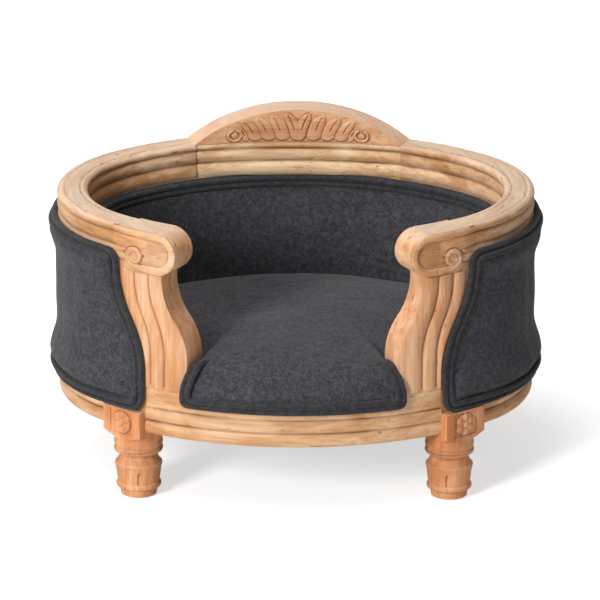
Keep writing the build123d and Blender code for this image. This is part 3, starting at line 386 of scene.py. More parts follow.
def wool_felt(name, light, dark, fleck):
    """Heathered wool felt: dead matt, with pale flecks over soft clouds of two greys."""
    material, tree, surface, place = new_material(name)
    # Real fibres are far under 1 mm and tufts about 1 mm, too fine for the render, so they are
    # drawn 4 and 6 mm apart, as coarse as they need to be to show
    fibre_look = {"Scale": repeats(4.255), "Detail": 3, "Roughness": 0.65, "Distortion": 1.8}
    tuft_look = {"Scale": repeats(6.25), "Detail": 4, "Roughness": 0.7, "Distortion": 0.8}
    fibres = put(tree, "TexNoise", {"Vector": place, **fibre_look})
    tufts = put(tree, "TexNoise", {"Vector": place, **tuft_look})
    cloud = put(tree, "TexNoise", {"Vector": place, "Scale": repeats(33.3), "Detail": 2})
    cloud_share = put(tree, "MapRange", {0: cloud, 1: 0.3, 2: 0.7, 3: 0.3, 4: 0.7})
    greys = put(tree, "Mix", {0: cloud_share, 6: linear(dark), 7: linear(light)}, out=2, data_type="RGBA")
    tuft_share = put(tree, "MapRange", {0: tufts, 1: 0.42, 2: 0.68, 4: 0.42})
    tufted = put(tree, "Mix", {0: tuft_share, 6: greys, 7: linear(fleck)}, out=2, data_type="RGBA")
    fibre_share = put(tree, "MapRange", {0: fibres, 1: 0.5, 2: 0.72, 4: 0.6})
    heather = put(tree, "Mix", {0: fibre_share, 6: tufted, 7: linear(fleck)}, out=2, data_type="RGBA")
    tree.links.new(heather, surface.inputs["Base Color"])
    surface.inputs["Roughness"].default_value = 0.95
    surface.inputs["Specular IOR Level"].default_value = 0.15
    surface.inputs["Sheen Weight"].default_value = 0.12
    surface.inputs["Sheen Roughness"].default_value = 0.5
    bump = put(tree, "Bump", {"Height": tufts, "Strength": 0.6, "Distance": 1.2 * mm})
    tree.links.new(bump, surface.inputs["Normal"])
    return material


felt = wool_felt("charcoal wool felt", "37363a", "28272b", "66646a")
cover_rows = []
rows, columns = 48, 330
for row in range(rows + 1):
    height = cover_foot + (cover_head - cover_foot) * row / rows
    start = opening_angle(beside_post(height, cord_clear))
    line = []
    for column in range(columns + 1):
        angle = start + (360 - 2 * start) * column / columns
        point = oval_point(angle, 0, height)
        # Pulls in the felt 36 and 110 mm apart, and soft folds that stand upright
        pull = noise.noise(point * 0.028) * 0.8 + noise.noise(point * 0.009) * 0.7
        fold = noise.noise(Vector((angle * 0.17, height * 0.006, 3.0))) * 1.1
        stand = between(cover_profile, height) + pull + fold
        from_edge = min(angle - start, 360 - start - angle) * radians(side_radius)
        tuck = eased(from_edge / tuck_width)
        stand = tuck * stand + (1 - tuck) * (side_stand(height, corner_cord_stand) + 0.6)
        line.append(oval_point(angle, stand, height))
    cover_rows.append(line)
outer_cover = felt_sheet("felt_outer_cover", cover_rows)
apply_modifier(outer_cover, "SOLIDIFY", thickness=felt_thick * mm, offset=-1)
carve("felt_outer_cover", felt)
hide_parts("outer_cover", "outer_padding")

# INNER WALL: the same felt over foam on the inner board, slightly crowned. It runs from
# the seat up to the double welt under the top rail and tucks in behind each post.
lining_foot, lining_head = 159.6, 308.4
lining_profile = ((159.3, 54.0), (235.0, 56.0), (308.6, 46.0))
post_back, tuck_columns = 41.0, 6
inner_ogee = (308.0, 204.0, -16.5, -51.5)
foot_turn, foot_turn_high = 8.5, 45


def post_inner_edge(height):
    """How far across the inner edge of a post stands, with the turn outwards at its foot."""
    below = max(inner_ogee[1] - height, 0) / foot_turn_high
    return ogee(height, *inner_ogee) + foot_turn * below**2


lining_rows = []
rows, columns = 40, 300
for row in range(rows + 1):
    height = lining_head - (lining_head - lining_foot) * row / rows
    start = opening_angle(post_inner_edge(height) + 4.5, 45)
    inset = between(lining_profile, height)
    line = []
    for column in range(columns + 1):
        angle = start + (360 - 2 * start) * column / columns
        tuck = min(column, columns - column)
        point = oval_point(angle, -50, height)
        soft = noise.noise(point * 0.02) * 0.9 + noise.noise(point * 0.055) * 0.35
        depth = inset + soft
        if tuck < tuck_columns:
            depth = post_back + (inset - post_back) * sqrt(1 - (1 - tuck / tuck_columns) ** 2)
        line.append(oval_point(angle, -depth, height))
    lining_rows.append(line)
lining = felt_sheet("felt_inner_wall", lining_rows)
apply_modifier(lining, "SOLIDIFY", thickness=felt_thick * mm, offset=-1)
carve("felt_inner_wall", felt)
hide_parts("wall_cover", "wall_foam")

# SEAT: one thick crowned pad of foam under felt. It is drawn down at the wall, squeezed
# between the posts, and rolls forward over the front rail to the double welt.
along = Vector((cos(radians(scroll_angle)), sin(radians(scroll_angle)), 0))
outward = Vector((sin(radians(scroll_angle)), -cos(radians(scroll_angle)), 0))
flat_middle = oval_point(scroll_angle, 0, 0)
side_across = -58.8
front_end = opening_angle(side_across)
wall_start = opening_angle(-46.0, 57)
wall_edge, wall_roll, front_edge, front_roll = 193.0, 12.0, 203.0, 42.0
rail_lip, deck_edge = 157.4, 138.7
front_proud, wall_inset, side_step = 0.8, 56.9, 3.8
core_inset, crown_height = 166.8, 212.0
most_swell = 4.0


def seat_edge(front):
    """The height of the seat's edge and the radius of its roll, from 0 at the wall to 1 at the front."""
    return wall_edge + (front_edge - wall_edge) * front, wall_roll + (front_roll - wall_roll) * front


def facing(spot):
    """The angle from the front's middle at which the outline faces as it does beside a spot."""
    x, y = abs(spot.x), spot.y
    front, back = degrees(atan2(x, side_centre - y)), degrees(atan2(x, side_centre + y))
    if front < join_angle and y < 0:
        angle = front
    elif back < join_angle and y > 0:
        angle = 180 - back
    else:
        angle = degrees(atan2(x - end_centre, -y))
    return angle if spot.x >= 0 else 360 - angle


def evened(values, sweeps):
    """Values round a ring, softened by their neighbours."""
    for sweep in range(sweeps):
        values = (np.roll(values, 1) + 2 * values + np.roll(values, -1)) / 4
    return values


# Once round the rim from the front's middle: each spot with its share of the front's roll
rim = []
front_steps, side_steps, wall_steps = 52, 13, 120
for count in range(front_steps):
    rim.append((oval_point(front_end * count / front_steps, front_proud, 0), 1.0))
for count in range(side_steps):
    spot = flat_middle + along * side_across - outward * (side_step * count - 0.4)
    rim.append((spot, 1.0 - count / side_steps))
rim.append((flat_middle + along * (side_across + 4) - outward * 49.5, 0.0))
for count in range(wall_steps + 1):
    angle = wall_start + (180 - wall_start) * count / wall_steps
    rim.append((oval_point(angle, -wall_inset, 0), 0.0))
rim += [(Vector((-spot.x, spot.y, 0)), front) for spot, front in rim[-2:0:-1]]
for sweep in range(2):
    trios = zip(rim[-1:] + rim[:-1], rim, rim[1:] + rim[:1])
    rim = [((a[0] + b[0] * 2 + c[0]) / 4, (a[1] + b[1] * 2 + c[1]) / 4) for a, b, c in trios]

# The middle's points are spread evenly round it, so that the felt fans out beside each post
even = np.arange(len(rim)) * 360 / len(rim)
off_even = evened(np.array([facing(spot) for spot, front in rim]) - even, 260)
cores = [oval_point(angle, -core_inset, 0) for angle in off_even + even]
seat_rows = []
side_rows, roll_steps, crown_steps = 5, 14, 26
for count in range(side_rows):
    share = count / side_rows
    line = []
    for spot, front in rim:
        edge, roll = seat_edge(front)
        floor = rail_lip if front > 0.02 else deck_edge
        line.append(Vector((spot.x, spot.y, floor + (max(edge - roll, floor + 0.6) - floor) * share)))
    seat_rows.append(line)
for step in range(roll_steps + 1):
    turn = radians(90 * step / roll_steps)
    line = []
    for (spot, front), core in zip(rim, cores):
        edge, roll = seat_edge(front)
        place = spot + (core - spot).normalized() * roll * (1 - cos(turn))
        line.append(Vector((place.x, place.y, edge - roll + roll * sin(turn))))
    seat_rows.append(line)
for step in range(1, crown_steps + 1):
    share = step / crown_steps
    line = []
    for (spot, front), core in zip(rim, cores):
        edge, roll = seat_edge(front)
        start = spot + (core - spot).normalized() * roll
        place = start + (core - start) * share
        line.append(Vector((place.x, place.y, edge + (crown_height - edge) * sin(share * pi / 2))))
    seat_rows.append(line)
for shrink in (0.8, 0.6, 0.4, 0.2):
    seat_rows.append([Vector((core.x * shrink, core.y * shrink, crown_height)) for core in cores])
# The higher a row, the more its heights are evened round the seat
for at, line in enumerate(seat_rows):
    sweeps = int(60 * min(max((at - 8) / 12, 0), 1))
    levels = evened(np.array([place.z for place in line]), sweeps)
    for place, level in zip(line, levels):
        place.z = level
seat = felt_sheet("felt_seat", seat_rows, closed=True)
bpy.ops.object.mode_set(mode="EDIT")
bpy.ops.mesh.select_all(action="DESELECT")
bpy.ops.mesh.select_non_manifold()
bpy.ops.mesh.edge_face_add()
bpy.ops.mesh.select_all(action="SELECT")
bpy.ops.mesh.normals_make_consistent(inside=False)
bpy.ops.object.mode_set(mode="OBJECT")

# The foam swells the felt between its tacks, by 4 mm at most
before = [vertex.co.copy() for vertex in seat.data.vertices]
weights = [min(max((count // len(rim) - side_rows) / 16, 0), 1) for count in range(len(before))]
pins = seat.vertex_groups.new(name="tacked")
for count, weight in enumerate(weights):
    pins.add([count], 1 - weight, "REPLACE")
cloth = seat.modifiers.new("CLOTH", "CLOTH")
cloth.settings.use_pressure = True
cloth.settings.uniform_pressure_force = 4
cloth.settings.effector_weights.gravity = 0
cloth.settings.vertex_group_mass = "tacked"
for moment in range(1, 21):
    bpy.context.scene.frame_set(moment)
swollen = seat.evaluated_get(bpy.context.evaluated_depsgraph_get()).data
after = [vertex.co.copy() for vertex in swollen.vertices]
seat.modifiers.remove(cloth)
for count, vertex in enumerate(seat.data.vertices):
    move = after[count] - before[count]
    cap = most_swell * mm * weights[count]
    if move.length > cap:
        move = move.normalized() * cap if cap else Vector()
    vertex.co = before[count] + move
apply_modifier(seat, "SMOOTH", factor=0.5, iterations=24, vertex_group="tacked", invert_vertex_group=True)
for count, vertex in enumerate(seat.data.vertices):
    place = vertex.co / mm
    dent = noise.noise(place * 0.016) * 1.3 + noise.noise(place * 0.05) * 0.5
    vertex.co.z += dent * weights[count] * mm
carve("felt_seat", felt)
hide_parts("seat_cover", "seat_foam")

# DOUBLE WELTS: pairs of felt-covered cords, 8 mm across, glued over every staple line.
# One pair runs under the top rail, turns down each post and returns along the base. Both
# cords of a pair are sewn into a strip of felt, which fills the gap behind them.
welt_felt = wool_felt("charcoal felt welt", "303033", "232225", "535256")
cord_radius, cord_step = 4.05, 2.0
under_rail, over_base = 343.3, 127.2


def softened(line, reach, closed):
    """Round the corners of an evenly stepped line."""
    total = len(line)
    result = []
    for count in range(total):
        near = range(count - reach, count + reach + 1)
        if closed:
            picked = [line[at % total] for at in near]
        else:
            width = min(reach, count, total - 1 - count)
            picked = line[count - width : count + width + 1]
        result.append(sum(picked, Vector((0, 0, 0))) / len(picked))
    return result


def stepped(points, closed):
    """Points one step apart along a line of points."""
    ring = points + points[:1] if closed else points
    result = [ring[0]]
    left = cord_step
    for first, second in zip(ring, ring[1:]):
        run = (second - first).length
        while left <= run:
            result.append(first + (second - first) * (left / run))
            left += cord_step
        left -= run
    return result


def felt_cord(name, lines, closed, radius):
    """Tubes along lines of points, as one object."""
    data = bpy.data.curves.new(name, "CURVE")
    data.dimensions = "3D"
    data.bevel_depth = radius * mm
    data.bevel_resolution = 3
    data.use_fill_caps = True
    for line in lines:
        spline = data.splines.new("POLY")
        spline.points.add(len(line) - 1)
        for count, point in enumerate(line):
            spline.points[count].co = (*(point * mm), 1)
        spline.use_cyclic_u = closed
    cord = bpy.data.objects.new(name, data)
    bpy.context.scene.collection.objects.link(cord)
    bpy.context.view_layer.objects.active = cord
    cord.select_set(True)
    bpy.ops.object.convert(target="MESH")
    bpy.ops.object.shade_smooth()
    return bpy.context.object


def double_welt(name, cords, strips, strip_radius, closed=False):
    """Two cords and the strip of felt behind them, joined as one piece."""
    strip = felt_cord(name + "_strip", strips, closed, strip_radius)
    felt_cord(name, cords, closed, cord_radius)
    strip.select_set(True)
    bpy.ops.object.join()
    return carve(name, welt_felt)


def outer_loop(gap, stand):
    """The line of one cord round the outer cover: along the base, up a post, back under the rail."""
    low, top = over_base + gap, under_rail - gap
    low_start, top_start = opening_angle(beside_post(low, gap)), opening_angle(beside_post(top, gap))
    ends = []
    for count in range(1, 60):
        height = low + (top - low) * count / 60
        ends.append((opening_angle(beside_post(height, gap)), side_stand(height, stand), height))
    shares = [count / 200 for count in range(201)]
    points = [oval_point(low_start + (360 - 2 * low_start) * share, stand, low) for share in shares]
    points += [oval_point(360 - angle, out, height) for angle, out, height in ends]
    points += [oval_point(top_start + (360 - 2 * top_start) * (1 - share), stand, top) for share in shares]
    points += [oval_point(angle, out, height) for angle, out, height in reversed(ends)]
    return points


# The outer cord, the inner cord and, between them, the strip
outer_lines = []
for gap, stand, reach in ((4.0, 4.3, 8), (12.1, corner_cord_stand, 4), (8.05, 4.0, 6)):
    outer_lines.append(softened(stepped(outer_loop(gap, stand), True), reach, True))
outer_welt = double_welt("felt_outer_welt", outer_lines[:2], outer_lines[2:], 2.4, closed=True)
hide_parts("outer_welt")

# The wall's pair lies under the top rail on the inside, from one post to the other
wall_start = opening_angle(-16.5, 40)
wall_lines = []
for height, stand in ((313.2, -44.3), (321.3, -44.3), (317.3, -42.0), (325.0, -41.4)):
    angles = [wall_start + (360 - 2 * wall_start) * count / 320 for count in range(321)]
    wall_lines.append([oval_point(angle, stand, height) for angle in angles])
wall_welt = double_welt("felt_wall_welt", wall_lines[:2], wall_lines[2:], 2.4)
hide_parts("wall_welt")

# The seat's pair runs along the front rail, turns up beside each post and over the roll
seat_lines = []
side_lean, roll_foot = 0.189, int(front_edge - front_roll)
for gap, reach in ((4.6, 4), (12.7, 2), (8.65, 3)):
    edge, low = -43.0 - gap, 141.8 + gap
    front_stop = opening_angle(edge)
    half = [oval_point(front_stop * count / 60, 1.8, low) for count in range(61)]
    for height in range(int(low) + 2, roll_foot, 2):
        half.append(oval_point(opening_angle(edge - (height - 159) * side_lean), 2.0, height))
    for count in range(1, 24):
        turn = radians(90 * count / 23)
        sunk = 7 * max((count - 13) / 10, 0) ** 2
        height = roll_foot + front_roll * sin(turn) - sunk
        back = front_roll * (1 - cos(turn))
        spot = flat_middle + along * (edge - (height - 159) * side_lean) + outward * (2.4 - back)
        half.append(Vector((spot.x, spot.y, height)))
    mirrored = [Vector((-point.x, point.y, point.z)) for point in half]
    seat_lines.append(softened(stepped(mirrored[:0:-1] + half, False), reach, False))
seat_welt = double_welt("felt_seat_welt", seat_lines[:2], seat_lines[2:], 2.6)
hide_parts("seat_welt")

# TOP RAIL: the moulded back rail and the two arm rails, the scroll ends and the crest. Pale
# ash again, with a painted highlight that makes the upward faces almost white, and painted shade in the
# grooves.
rail_grooves = (346.0, 363.7)
rail_wood = sanded_wood("sanded ash, top rail", "f2d2aa", "dbaa78", "a76b3e", False, rail_grooves, 0.6)
finish_nodes(rail_wood, "back_top_rail")
arm_wood = sanded_wood("sanded ash, arm rails", "e6c09a", "bf8959", "8c5831", False, rail_grooves, 0.6, 0.42)
finish_nodes(arm_wood, "right_arm_rail", "left_arm_rail")
scroll_wood = sanded_wood("sanded ash, scrolls", "e8bd95", "cf9868", "9c6038", False)
finish_nodes(scroll_wood, "right_arm_scroll", "left_arm_scroll")
crest_wood = sanded_wood("sanded ash, crest", "ecb98f", "dd9b6c", "a8653b", False)
finish_nodes(crest_wood, "crest")

# SCROLL CARVING: the end of each arm is a volute. A rounded band runs round the tip, a
# dish is scooped inside it, and the lower band curls up into a small spiral eye. It is
# cut with gouges, and its deep places and the dish are darkened with painted shade.
scroll_end, tip_radius = 38.75, 28.5
tip_centre = tip_radius - scroll_end
scroll_low, scroll_top = 316.2, 373.2
scroll_middle = (scroll_low + scroll_top) / 2
eye_across, eye_height = 22.6, 336.6
corner_across, corner_height, corner_radius = 26.75, 328.2, 12.0
rail_beads, bead_depth = ((326.0, 346.0), (346.0, 363.7), (363.7, scroll_top)), 4
skin, margin, onto_rail = 0.3, 0.2, 19.5
dish_slope = 0.0662
band_lift, band_inset, band_half = 3.4, 5.4, 5.8
lower_lift, lower_height, lower_half = 3.2, 321.6, 4.9
top_lift, top_height, top_half = 2.6, 354.9, 8.4
eye_clear, coil_radius, coil_half, coil_lift, coil_sweep = 14.5, 12.0, 4.4, 3.4, 450
heart_lift, heart_radius = 2.7, 9.0


def worn(heights, sweeps):
    """Heights softened by their neighbours, as by sanding."""
    for sweep in range(sweeps):
        edged = np.pad(heights, 1, mode="edge")
        near = edged[:-2, 1:-1] + edged[2:, 1:-1] + edged[1:-1, :-2] + edged[1:-1, 2:]
        heights = (near + 2 * heights) / 6
    return heights


def recess_shade(heights, sweeps, depth):
    """How much painted shade each place gets: all, where it lies so deep below what is round it."""
    return np.clip((worn(heights, sweeps) - heights) / depth, 0, 1)


def rounded(off):
    """The height of a round bead whose middle is 0 and whose edges are at -1 and 1."""
    return np.sqrt(np.clip(1 - off**2, 0, 1))


def relief(name, points, hollow_shade, material):
    """A carved face on the CAD piece behind it, with its painted shade kept as an attribute for the
    material.
    """
    carved = felt_sheet(name, points)
    layer = carved.data.attributes.new("hollow_shade", "FLOAT", "POINT")
    layer.data.foreach_set("value", hollow_shade.astype(np.float32).ravel())
    apply_modifier(carved, "SOLIDIFY", thickness=1.0 * mm, offset=-1)
    return carve(name, material)


def both_arms(name, points, hollow_shade, material):
    """The right arm's carved face, and its mirror image on the left arm."""
    relief(name + "_right", points, hollow_shade, material)
    mirrored = [[Vector((-point.x, point.y, point.z)) for point in reversed(line)] for line in points]
    relief(name + "_left", mirrored, hollow_shade[:, ::-1], material)


def arm_face(across, heights, levels):
    """Points on the front of the scroll and post, so far across it, proud of it and up it."""
    return [
        [oval_point(opening_angle(spot), height, level) for spot, height, level in zip(*line)]
        for line in zip(across, heights, levels)
    ]


def shaded_wood(name, pale, tan, brown, upright, strength, knots):
    """Sanded wood darkened with painted shade where its attribute says, deepest in the recesses."""
    material = sanded_wood(name, pale, tan, brown, upright, knots=knots)
    tree = material.node_tree
    surface = tree.nodes["Principled BSDF"]
    plain = surface.inputs["Base Color"].links[0].from_socket
    # Painted shade: the attribute mixes the wood towards a deep brown
    depth = put(tree, "Attribute", out="Fac", attribute_name="hollow_shade")
    shade_share = put(tree, "Math", {0: depth, 1: strength}, operation="MULTIPLY")
    shaded = put(tree, "Mix", {0: shade_share, 6: plain, 7: linear("74401f")}, out=2, data_type="RGBA")
    tree.links.new(shaded, surface.inputs["Base Color"])
    return material


rows, columns = 111, 151
levels = np.linspace(scroll_low + margin, scroll_top - margin, rows)[:, None] + np.zeros((1, columns))
off_middle = levels - scroll_middle
left_edge = tip_centre - np.sqrt(tip_radius**2 - off_middle**2) + margin
corner = corner_across + np.sqrt(np.clip(corner_radius**2 - (levels - corner_height) ** 2, 0, None))
right_edge = np.where(levels < corner_height, corner, scroll_end) - margin
right_edge = right_edge + onto_rail * eased((levels - 338) / 5)
across = left_edge + np.linspace(0, 1, columns)[None, :] * (right_edge - left_edge)
# The band round the tip hands over to the lower band, and the dish is cut between them
from_tip = np.where(across < tip_centre, np.hypot(across - tip_centre, off_middle), np.abs(off_middle))
inwards = tip_radius - from_tip
band = band_lift * rounded((inwards - band_inset) / band_half)
band = band * np.where(levels < scroll_middle, eased((8 - across) / 12), 1)
lower_middle = lower_height + 2.4 * eased((across - 2) / 20)
lower = lower_lift * rounded((levels - lower_middle) / lower_half)
lower = lower * eased((across + 8) / 12) * (across < eye_across)
scooped = eased((inwards - 9.0) / 6) * eased((16 - across) / 24)
room = (scroll_end - across) * dish_slope - skin
heights = skin + np.maximum(band, lower) - scooped * np.clip(room, 0, None)
top_bead = top_lift * rounded((levels - top_height) / top_half) * eased((across - 2) / 20)
heights = np.maximum(heights, skin + top_bead)
# The eye: a ridge that winds in by one and a quarter turns round a domed heart
eye_away = np.hypot(across - eye_across, levels - eye_height)
eye_turn = np.degrees(np.arctan2(levels - eye_height, across - eye_across))
cleared = (eye_away < eye_clear) & (levels > lower_middle + 3.5)
heights = np.where(cleared, np.minimum(heights, 0.1), heights)
curls = np.zeros(heights.shape)
for lap in (0, 1):
    share = ((eye_turn + 90) % 360 + 360 * lap) / coil_sweep
    path, half = coil_radius * (1 - 0.56 * share), coil_half * (1 - 0.3 * share)
    curls = np.maximum(curls, coil_lift * rounded((eye_away - path) / half) * (share < 1))
heart = heart_lift * rounded(eye_away / heart_radius)
heights = np.maximum(heights, skin + np.maximum(curls, heart))
# Past the eye, the carving runs out into the rail's three beads
profile = np.zeros(levels.shape)
for low, high in rail_beads:
    radius = ((high - low) ** 2 / 4 + bead_depth**2) / (2 * bead_depth)
    arch = np.sqrt(np.clip(radius**2 - (levels - (low + high) / 2) ** 2, 0, None)) - radius
    profile = np.where((levels >= low) & (levels <= high), arch, profile)
run_out = eased((across - 12) / 18) * eased((eye_away - 15.0) / 3) * (levels > 341)
settled = eased((across - 38) / 20)
beaded = 0.4 + 2.6 * (1 - settled) + profile * (0.75 + 0.25 * settled)
heights = heights * (1 - run_out) + beaded * run_out
# Painted shade: darker in the carving's recesses and over the dish, most near the eye
near_eye = eased((across + 12) / 26) * eased((350 - levels) / 22)
hollow_shade = recess_shade(heights, 14, 0.8) + scooped * (0.3 + 0.6 * near_eye) * (heights < 0.4) * (1 - run_out)
# The edges are turned in under the face of the solid behind
heights = worn(heights, 3)
heights[0, :] = heights[-1, :] = heights[:, 0] = -0.6
heights[:, -1] = np.where(levels[:, -1] > 341, profile[:, -1] - 0.8, -0.6)
volute_wood = shaded_wood("sanded ash, volutes", "e8bd95", "cf9868", "9c6038", False, 0.85, 0.5)
both_arms("volute", arm_face(across, heights, levels), hollow_shade, volute_wood)

# TOP MOULDINGS: the top of each arm rail has a flat between two beads, run with a scratch
# stock. The quirks between them are darkened with painted shade, and the mouldings fade out at both ends.
outer_edge, inner_edge = -2.4, -37.6
outer_quirk, inner_quirk = -10.0, -30.0
bead_rise, quirk_width = 1.0, 1.1
rail_width, corner_round = 40.0, 4.82
first_angle, last_angle = 36.0, 155.8
offsets = np.linspace(outer_edge, inner_edge, 60)
angles = np.linspace(first_angle, last_angle, 220)
heights = np.zeros((len(offsets), len(angles)))
hollow_shade = np.zeros(heights.shape)
for column, angle in enumerate(angles):
    wander = noise.noise(Vector((angle * 0.09, 5.0, 0))) * 0.7
    first, second = outer_quirk + wander, inner_quirk + wander
    to_outer, to_inner = (offsets - first) / (outer_edge - first), (second - offsets) / (second - inner_edge)
    to_edge = np.where(offsets > first, to_outer, to_inner)
    rising = rounded(1 - np.clip(to_edge * 2, 0, 1))
    falling = np.cos(np.clip(to_edge - 0.5, 0, 0.5) * pi) ** 2
    flat = rounded(((offsets - (first + second) / 2) / ((first - second) / 2)) ** 4)
    fade = eased((angle - first_angle - 1) / 18) * eased((last_angle - angle) / 7)
    heights[:, column] = bead_rise * np.where(to_edge > 0, rising * falling, flat) * fade - 0.2 * (1 - fade)
    # Painted shade in the quirks, patchy along the rail and stronger in the inner one
    patchy_shade = np.clip(0.5 + noise.noise(Vector((angle * 0.5, 9.0, 0))), 0.1, 1)
    in_outer, in_inner = (np.exp(-(((offsets - quirk) / quirk_width) ** 2)) for quirk in (first, second))
    hollow_shade[:, column] = (0.8 * in_outer + 1.3 * in_inner) * patchy_shade * fade
heights = worn(heights, 1)
heights[0, :] = heights[-1, :] = heights[:, 0] = heights[:, -1] = -0.3
points = []
for offset, line in zip(offsets, heights):
    near_edge = max(offset + corner_round, corner_round - rail_width - offset, 0)
    base = scroll_top - 4.75 + sqrt(corner_round**2 - near_edge**2) if near_edge > 0.82 else scroll_top
    points.append([oval_point(angle, offset, base + height) for angle, height in zip(angles, line)])
top_wood = shaded_wood("sanded ash, arm tops", "e6c09a", "bf8959", "8c5831", False, 0.8, 0.6)
both_arms("moulding", points, hollow_shade, top_wood)

# POST REEDS: the face of each post is worked into three fat reeds that follow its ogee, with
# sharp quirks between them. They stop on a ledge above the base rail.
rows, columns = 131, 101
foot, head = 159.8, 316.0
reed_depth, ledge_depth = 5.6, -2.2
first_ogee, second_ogee = (308.0, 204.0, 4.6, -18.5), (308.0, 204.0, 26.5, 2.0)
posts = [
    (
        post_inner_edge(height),
        ogee(height, *first_ogee),
        ogee(height, *second_ogee),
        post_edge(height),
        (post_edge(height + 1) - post_edge(height - 1)) / 2,
    )
    for height in np.linspace(foot, head, rows)
]
inner, first, second, outer, slope = np.array(posts).T[:, :, None]
levels = np.linspace(foot, head, rows)[:, None] + np.zeros((1, columns))
left_edge, right_edge = inner - 0.4, outer + 0.3 * np.hypot(1, slope)
across = left_edge + np.linspace(0, 1, columns)[None, :] * (right_edge - left_edge)
heights = np.full(across.shape, ledge_depth)
for start, stop in ((inner - 3.5, first), (first, second), (second, 2 * second - first)):
    off = (across - (start + stop) / 2) / ((stop - start) / 2)
    reed = -0.1 - reed_depth * (1 - np.sqrt(np.clip(1 - np.abs(off) ** 2.3, 0, 1)))
    heights = np.where((off >= -1) & (off < 1), reed, heights)
# The inner reed has a ridge, from which it falls gently to the post's corner
ridge = inner + 0.42 * (first - inner)
to_corner = np.clip((ridge - across) / (ridge - inner), 0, 1)
to_quirk = np.clip((across - ridge) / (first - ridge), 0, 1)
ridged = -0.1 - 2.1 * to_corner**1.2 - reed_depth * (1 - np.sqrt(1 - to_quirk**2.3))
heights = np.where(across < first, ridged, heights)
near_edge = np.clip((across - inner) / 3.0, 0, 1)
shoulder = ledge_depth - 1.6 * (1 - near_edge) ** 2
heights = np.where(across < first - 6, np.maximum(heights, shoulder), heights)
above_ledge = eased((levels - foot) / 4.0)
heights = np.where(heights < ledge_depth, ledge_depth + (heights - ledge_depth) * above_ledge, heights)
# Painted shade: darker in the quirks and recesses, and a little on the slope from the ridge down to the
# corner
hollow_shade = recess_shade(heights, 14, 1.0) + 0.1 * eased(to_corner * 2)
heights = worn(heights, 2)
heights[:, -1] = -3.0
heights[:, 0] = -4.6
heights[0, :] = heights[-1, :] = -4.0
reeded = shaded_wood("sanded ash, reeds", "ecbd94", "d09060", "9c6039", True, 0.8, 0.4)
both_arms("reeds", arm_face(across, heights, levels), hollow_shade, reeded)

# CREST CARVING: a palmette cut in low relief on the crest's face. A split leaf stands in
# the middle, three curling plumes and a small leaf on each side, and a scroll at each end.
rail_top, crest_rise, crest_arc = 373.2, 43.8, 260.6
face_centre, face_radius = -370.4, 560.0
half_span, palmette_foot, palmette_clear = 98.0, 0.4, 1.4
end_scroll_across, end_scroll_height = 85.0, 383.0
# Each plume has its foot, its lean, its height, half its width and its lift
curling = ((20.5, 12.5, 34.5, 10.0), (38.6, 15.5, 32.0, 10.0), (56.4, 16.5, 28.5, 9.6))
plumes = []
for side in (-1, 1):
    for foot, lean, high, half in curling:
        plumes.append((foot * side, lean * side, high, half, 1.9))
    plumes.append((69.5 * side, 7.0 * side, 17.0, 4.4, 1.5))
    plumes.append((1.5 * side, 13.0 * side, 38.0, 8.6, 2.2))

wide, tall = 391, 91
across = np.linspace(-half_span, half_span, wide)[None, :] + np.zeros((tall, 1))
low = rail_top + palmette_foot
tops = rail_top + crest_rise - (crest_arc - np.sqrt(crest_arc**2 - across**2)) - palmette_clear
levels = low + np.linspace(0, 1, tall)[:, None] * (tops - low)
heights = np.zeros((tall, wide))
for foot, lean, high, half, lift in plumes:
    share = (levels - rail_top - 2.0) / high
    middle = foot + lean * np.clip(share, 0, 1.2) ** 1.8
    foot_round = rounded(np.clip(1 - share / 0.2, 0, 1))
    tip_round = np.clip(1 - np.clip((share - 0.55) / 0.45, 0, 1) ** 2.6, 0, 1) ** 0.6
    width = half * foot_round * tip_round
    inside = (share > 0) & (share < 1) & (width > 0.2)
    off = (across - middle) / np.maximum(width, 0.2)
    dome = np.where(inside & (np.abs(off) < 1), lift * np.clip(1 - np.abs(off) ** 3, 0, 1) ** 0.5, 0)
    # The plume curls over towards the middle, behind a gouged crease
    outer = np.sign(foot) * off
    dome = dome * (0.78 + 0.22 * outer)
    crease = 1.5 * np.exp(-(((outer - 0.1) * half / 0.8) ** 2)) * eased((share - 0.3) * 4)
    heights = np.maximum(heights, dome - np.where(dome > 0.4, crease, 0))
for side in (-1, 1):
    aside, above = (across - end_scroll_across * side) * side, (levels - end_scroll_height) * 1.2
    away = np.hypot(aside, above)
    swept = (np.degrees(np.arctan2(above, aside)) + 250) % 360
    path = 9.6 - 2.2 * swept / 360
    ridge = 1.7 * rounded((away - path) / 2.2) * (swept < 330)
    heart = 1.0 * rounded(away / 4.2)
    heights = np.maximum(heights, np.maximum(ridge, heart))
# Painted shade: darker in the recesses round the plumes and scrolls, a little darker on the raised carving,
# and less towards the crest's top away from the middle
hollow_shade = recess_shade(heights, 16, 0.38) + 0.06 * (heights > 0.3)
hollow_shade = hollow_shade * (1 - 0.6 * eased((levels - 388) / 14) * eased((np.abs(across) - 12) / 8))
# The carving stands a little proud of the crest's face, and its edges turn in under it
proud = np.pad(np.full((tall - 2, wide - 2), 0.25), 1, constant_values=-0.4)
face = face_centre + np.sqrt(face_radius**2 - across**2) - (worn(heights, 1) + proud)
points = [[Vector(point) for point in zip(*line)] for line in zip(across, face, levels)]
palmette_wood = shaded_wood("sanded ash, palmette", "ecb98f", "da996a", "a3633a", False, 1.0, 0.4)
relief("crest_palmette", points, hollow_shade, palmette_wood)

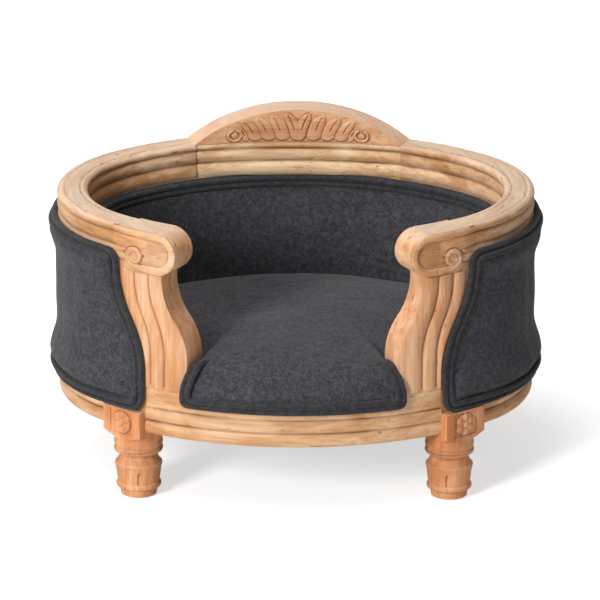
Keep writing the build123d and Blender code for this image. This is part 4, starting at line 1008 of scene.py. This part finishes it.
# STAGE: a plain white floor and background, a large soft lamp at the front left, and a
# weaker one above, as in a shop's photograph. The camera sees the floor lit up to white.
bed_middle = Vector((0, 0, 0.2))
bpy.ops.mesh.primitive_plane_add(size=14)
floor = bpy.context.object
floor.name = "floor"
floor_finish = mottled("white paper", "TexNoise", {"Scale": repeats(333)}, "fafafa", "f6f6f6", 0.9)
tree = floor_finish.node_tree
surface = tree.nodes["Principled BSDF"]
surface.inputs["Specular IOR Level"].default_value = 0.1
ray = put(tree, "LightPath", out="Is Camera Ray")
lift = put(tree, "Math", {0: ray, 1: 0.62}, operation="MULTIPLY")
surface.inputs["Emission Color"].default_value = (1, 1, 1, 1)
tree.links.new(lift, surface.inputs["Emission Strength"])
floor.data.materials.append(floor_finish)
bpy.ops.object.select_all(action="DESELECT")

# The background is white to the camera, and lights the bed much more weakly than it looks
world = bpy.data.worlds.new("studio")
bpy.context.scene.world = world
world.use_nodes = True
tree = world.node_tree
camera_ray, glossy_ray, through_ray = "Is Camera Ray", "Is Glossy Ray", "Is Transmission Ray"
ray = put(tree, "LightPath", out=None)
seen = put(tree, "Math", {0: ray[camera_ray], 1: ray[glossy_ray]}, operation="MAXIMUM")
seen = put(tree, "Math", {0: seen, 1: ray[through_ray]}, operation="MAXIMUM")
glow = put(tree, "MapRange", {0: seen, 3: 0.15, 4: 1.0})
background = tree.nodes["Background"]
background.inputs["Color"].default_value = (1, 1, 1, 1)
tree.links.new(glow, background.inputs["Strength"])


def lamp(name, place, power, size):
    """A square soft lamp that points at the bed."""
    data = bpy.data.lights.new(name, "AREA")
    data.energy = power
    data.size = size
    light = bpy.data.objects.new(name, data)
    light.location = place
    light.rotation_euler = (bed_middle - Vector(place)).to_track_quat("-Z", "Y").to_euler()
    bpy.context.scene.collection.objects.link(light)


lamp("window light", (-2.05, -3.1, 1.8), 104, 1.0)
lamp("top light", (-0.6, -0.6, 3.2), 62, 1.8)

# CAMERA: straight in front, slightly to the right, looking down by nearly twenty degrees,
# 8 m away with a long lens. The shift puts the bed where it stands in the picture.
elevation, yaw, distance = radians(19.47), radians(0.95), 8
back = Vector((sin(yaw) * cos(elevation), -cos(yaw) * cos(elevation), sin(elevation)))
lens = bpy.data.cameras.new("camera")
lens.sensor_width = 36
lens.lens = 364.7
lens.shift_x = 0.00703
lens.shift_y = 0.01858
lens.clip_end = 60
camera = bpy.data.objects.new("camera", lens)
camera.location = bed_middle + back * distance
camera.rotation_euler = (-back).to_track_quat("-Z", "Y").to_euler()
bpy.context.scene.collection.objects.link(camera)
bpy.context.scene.camera = camera
bpy.context.scene.view_settings.view_transform = "Standard"
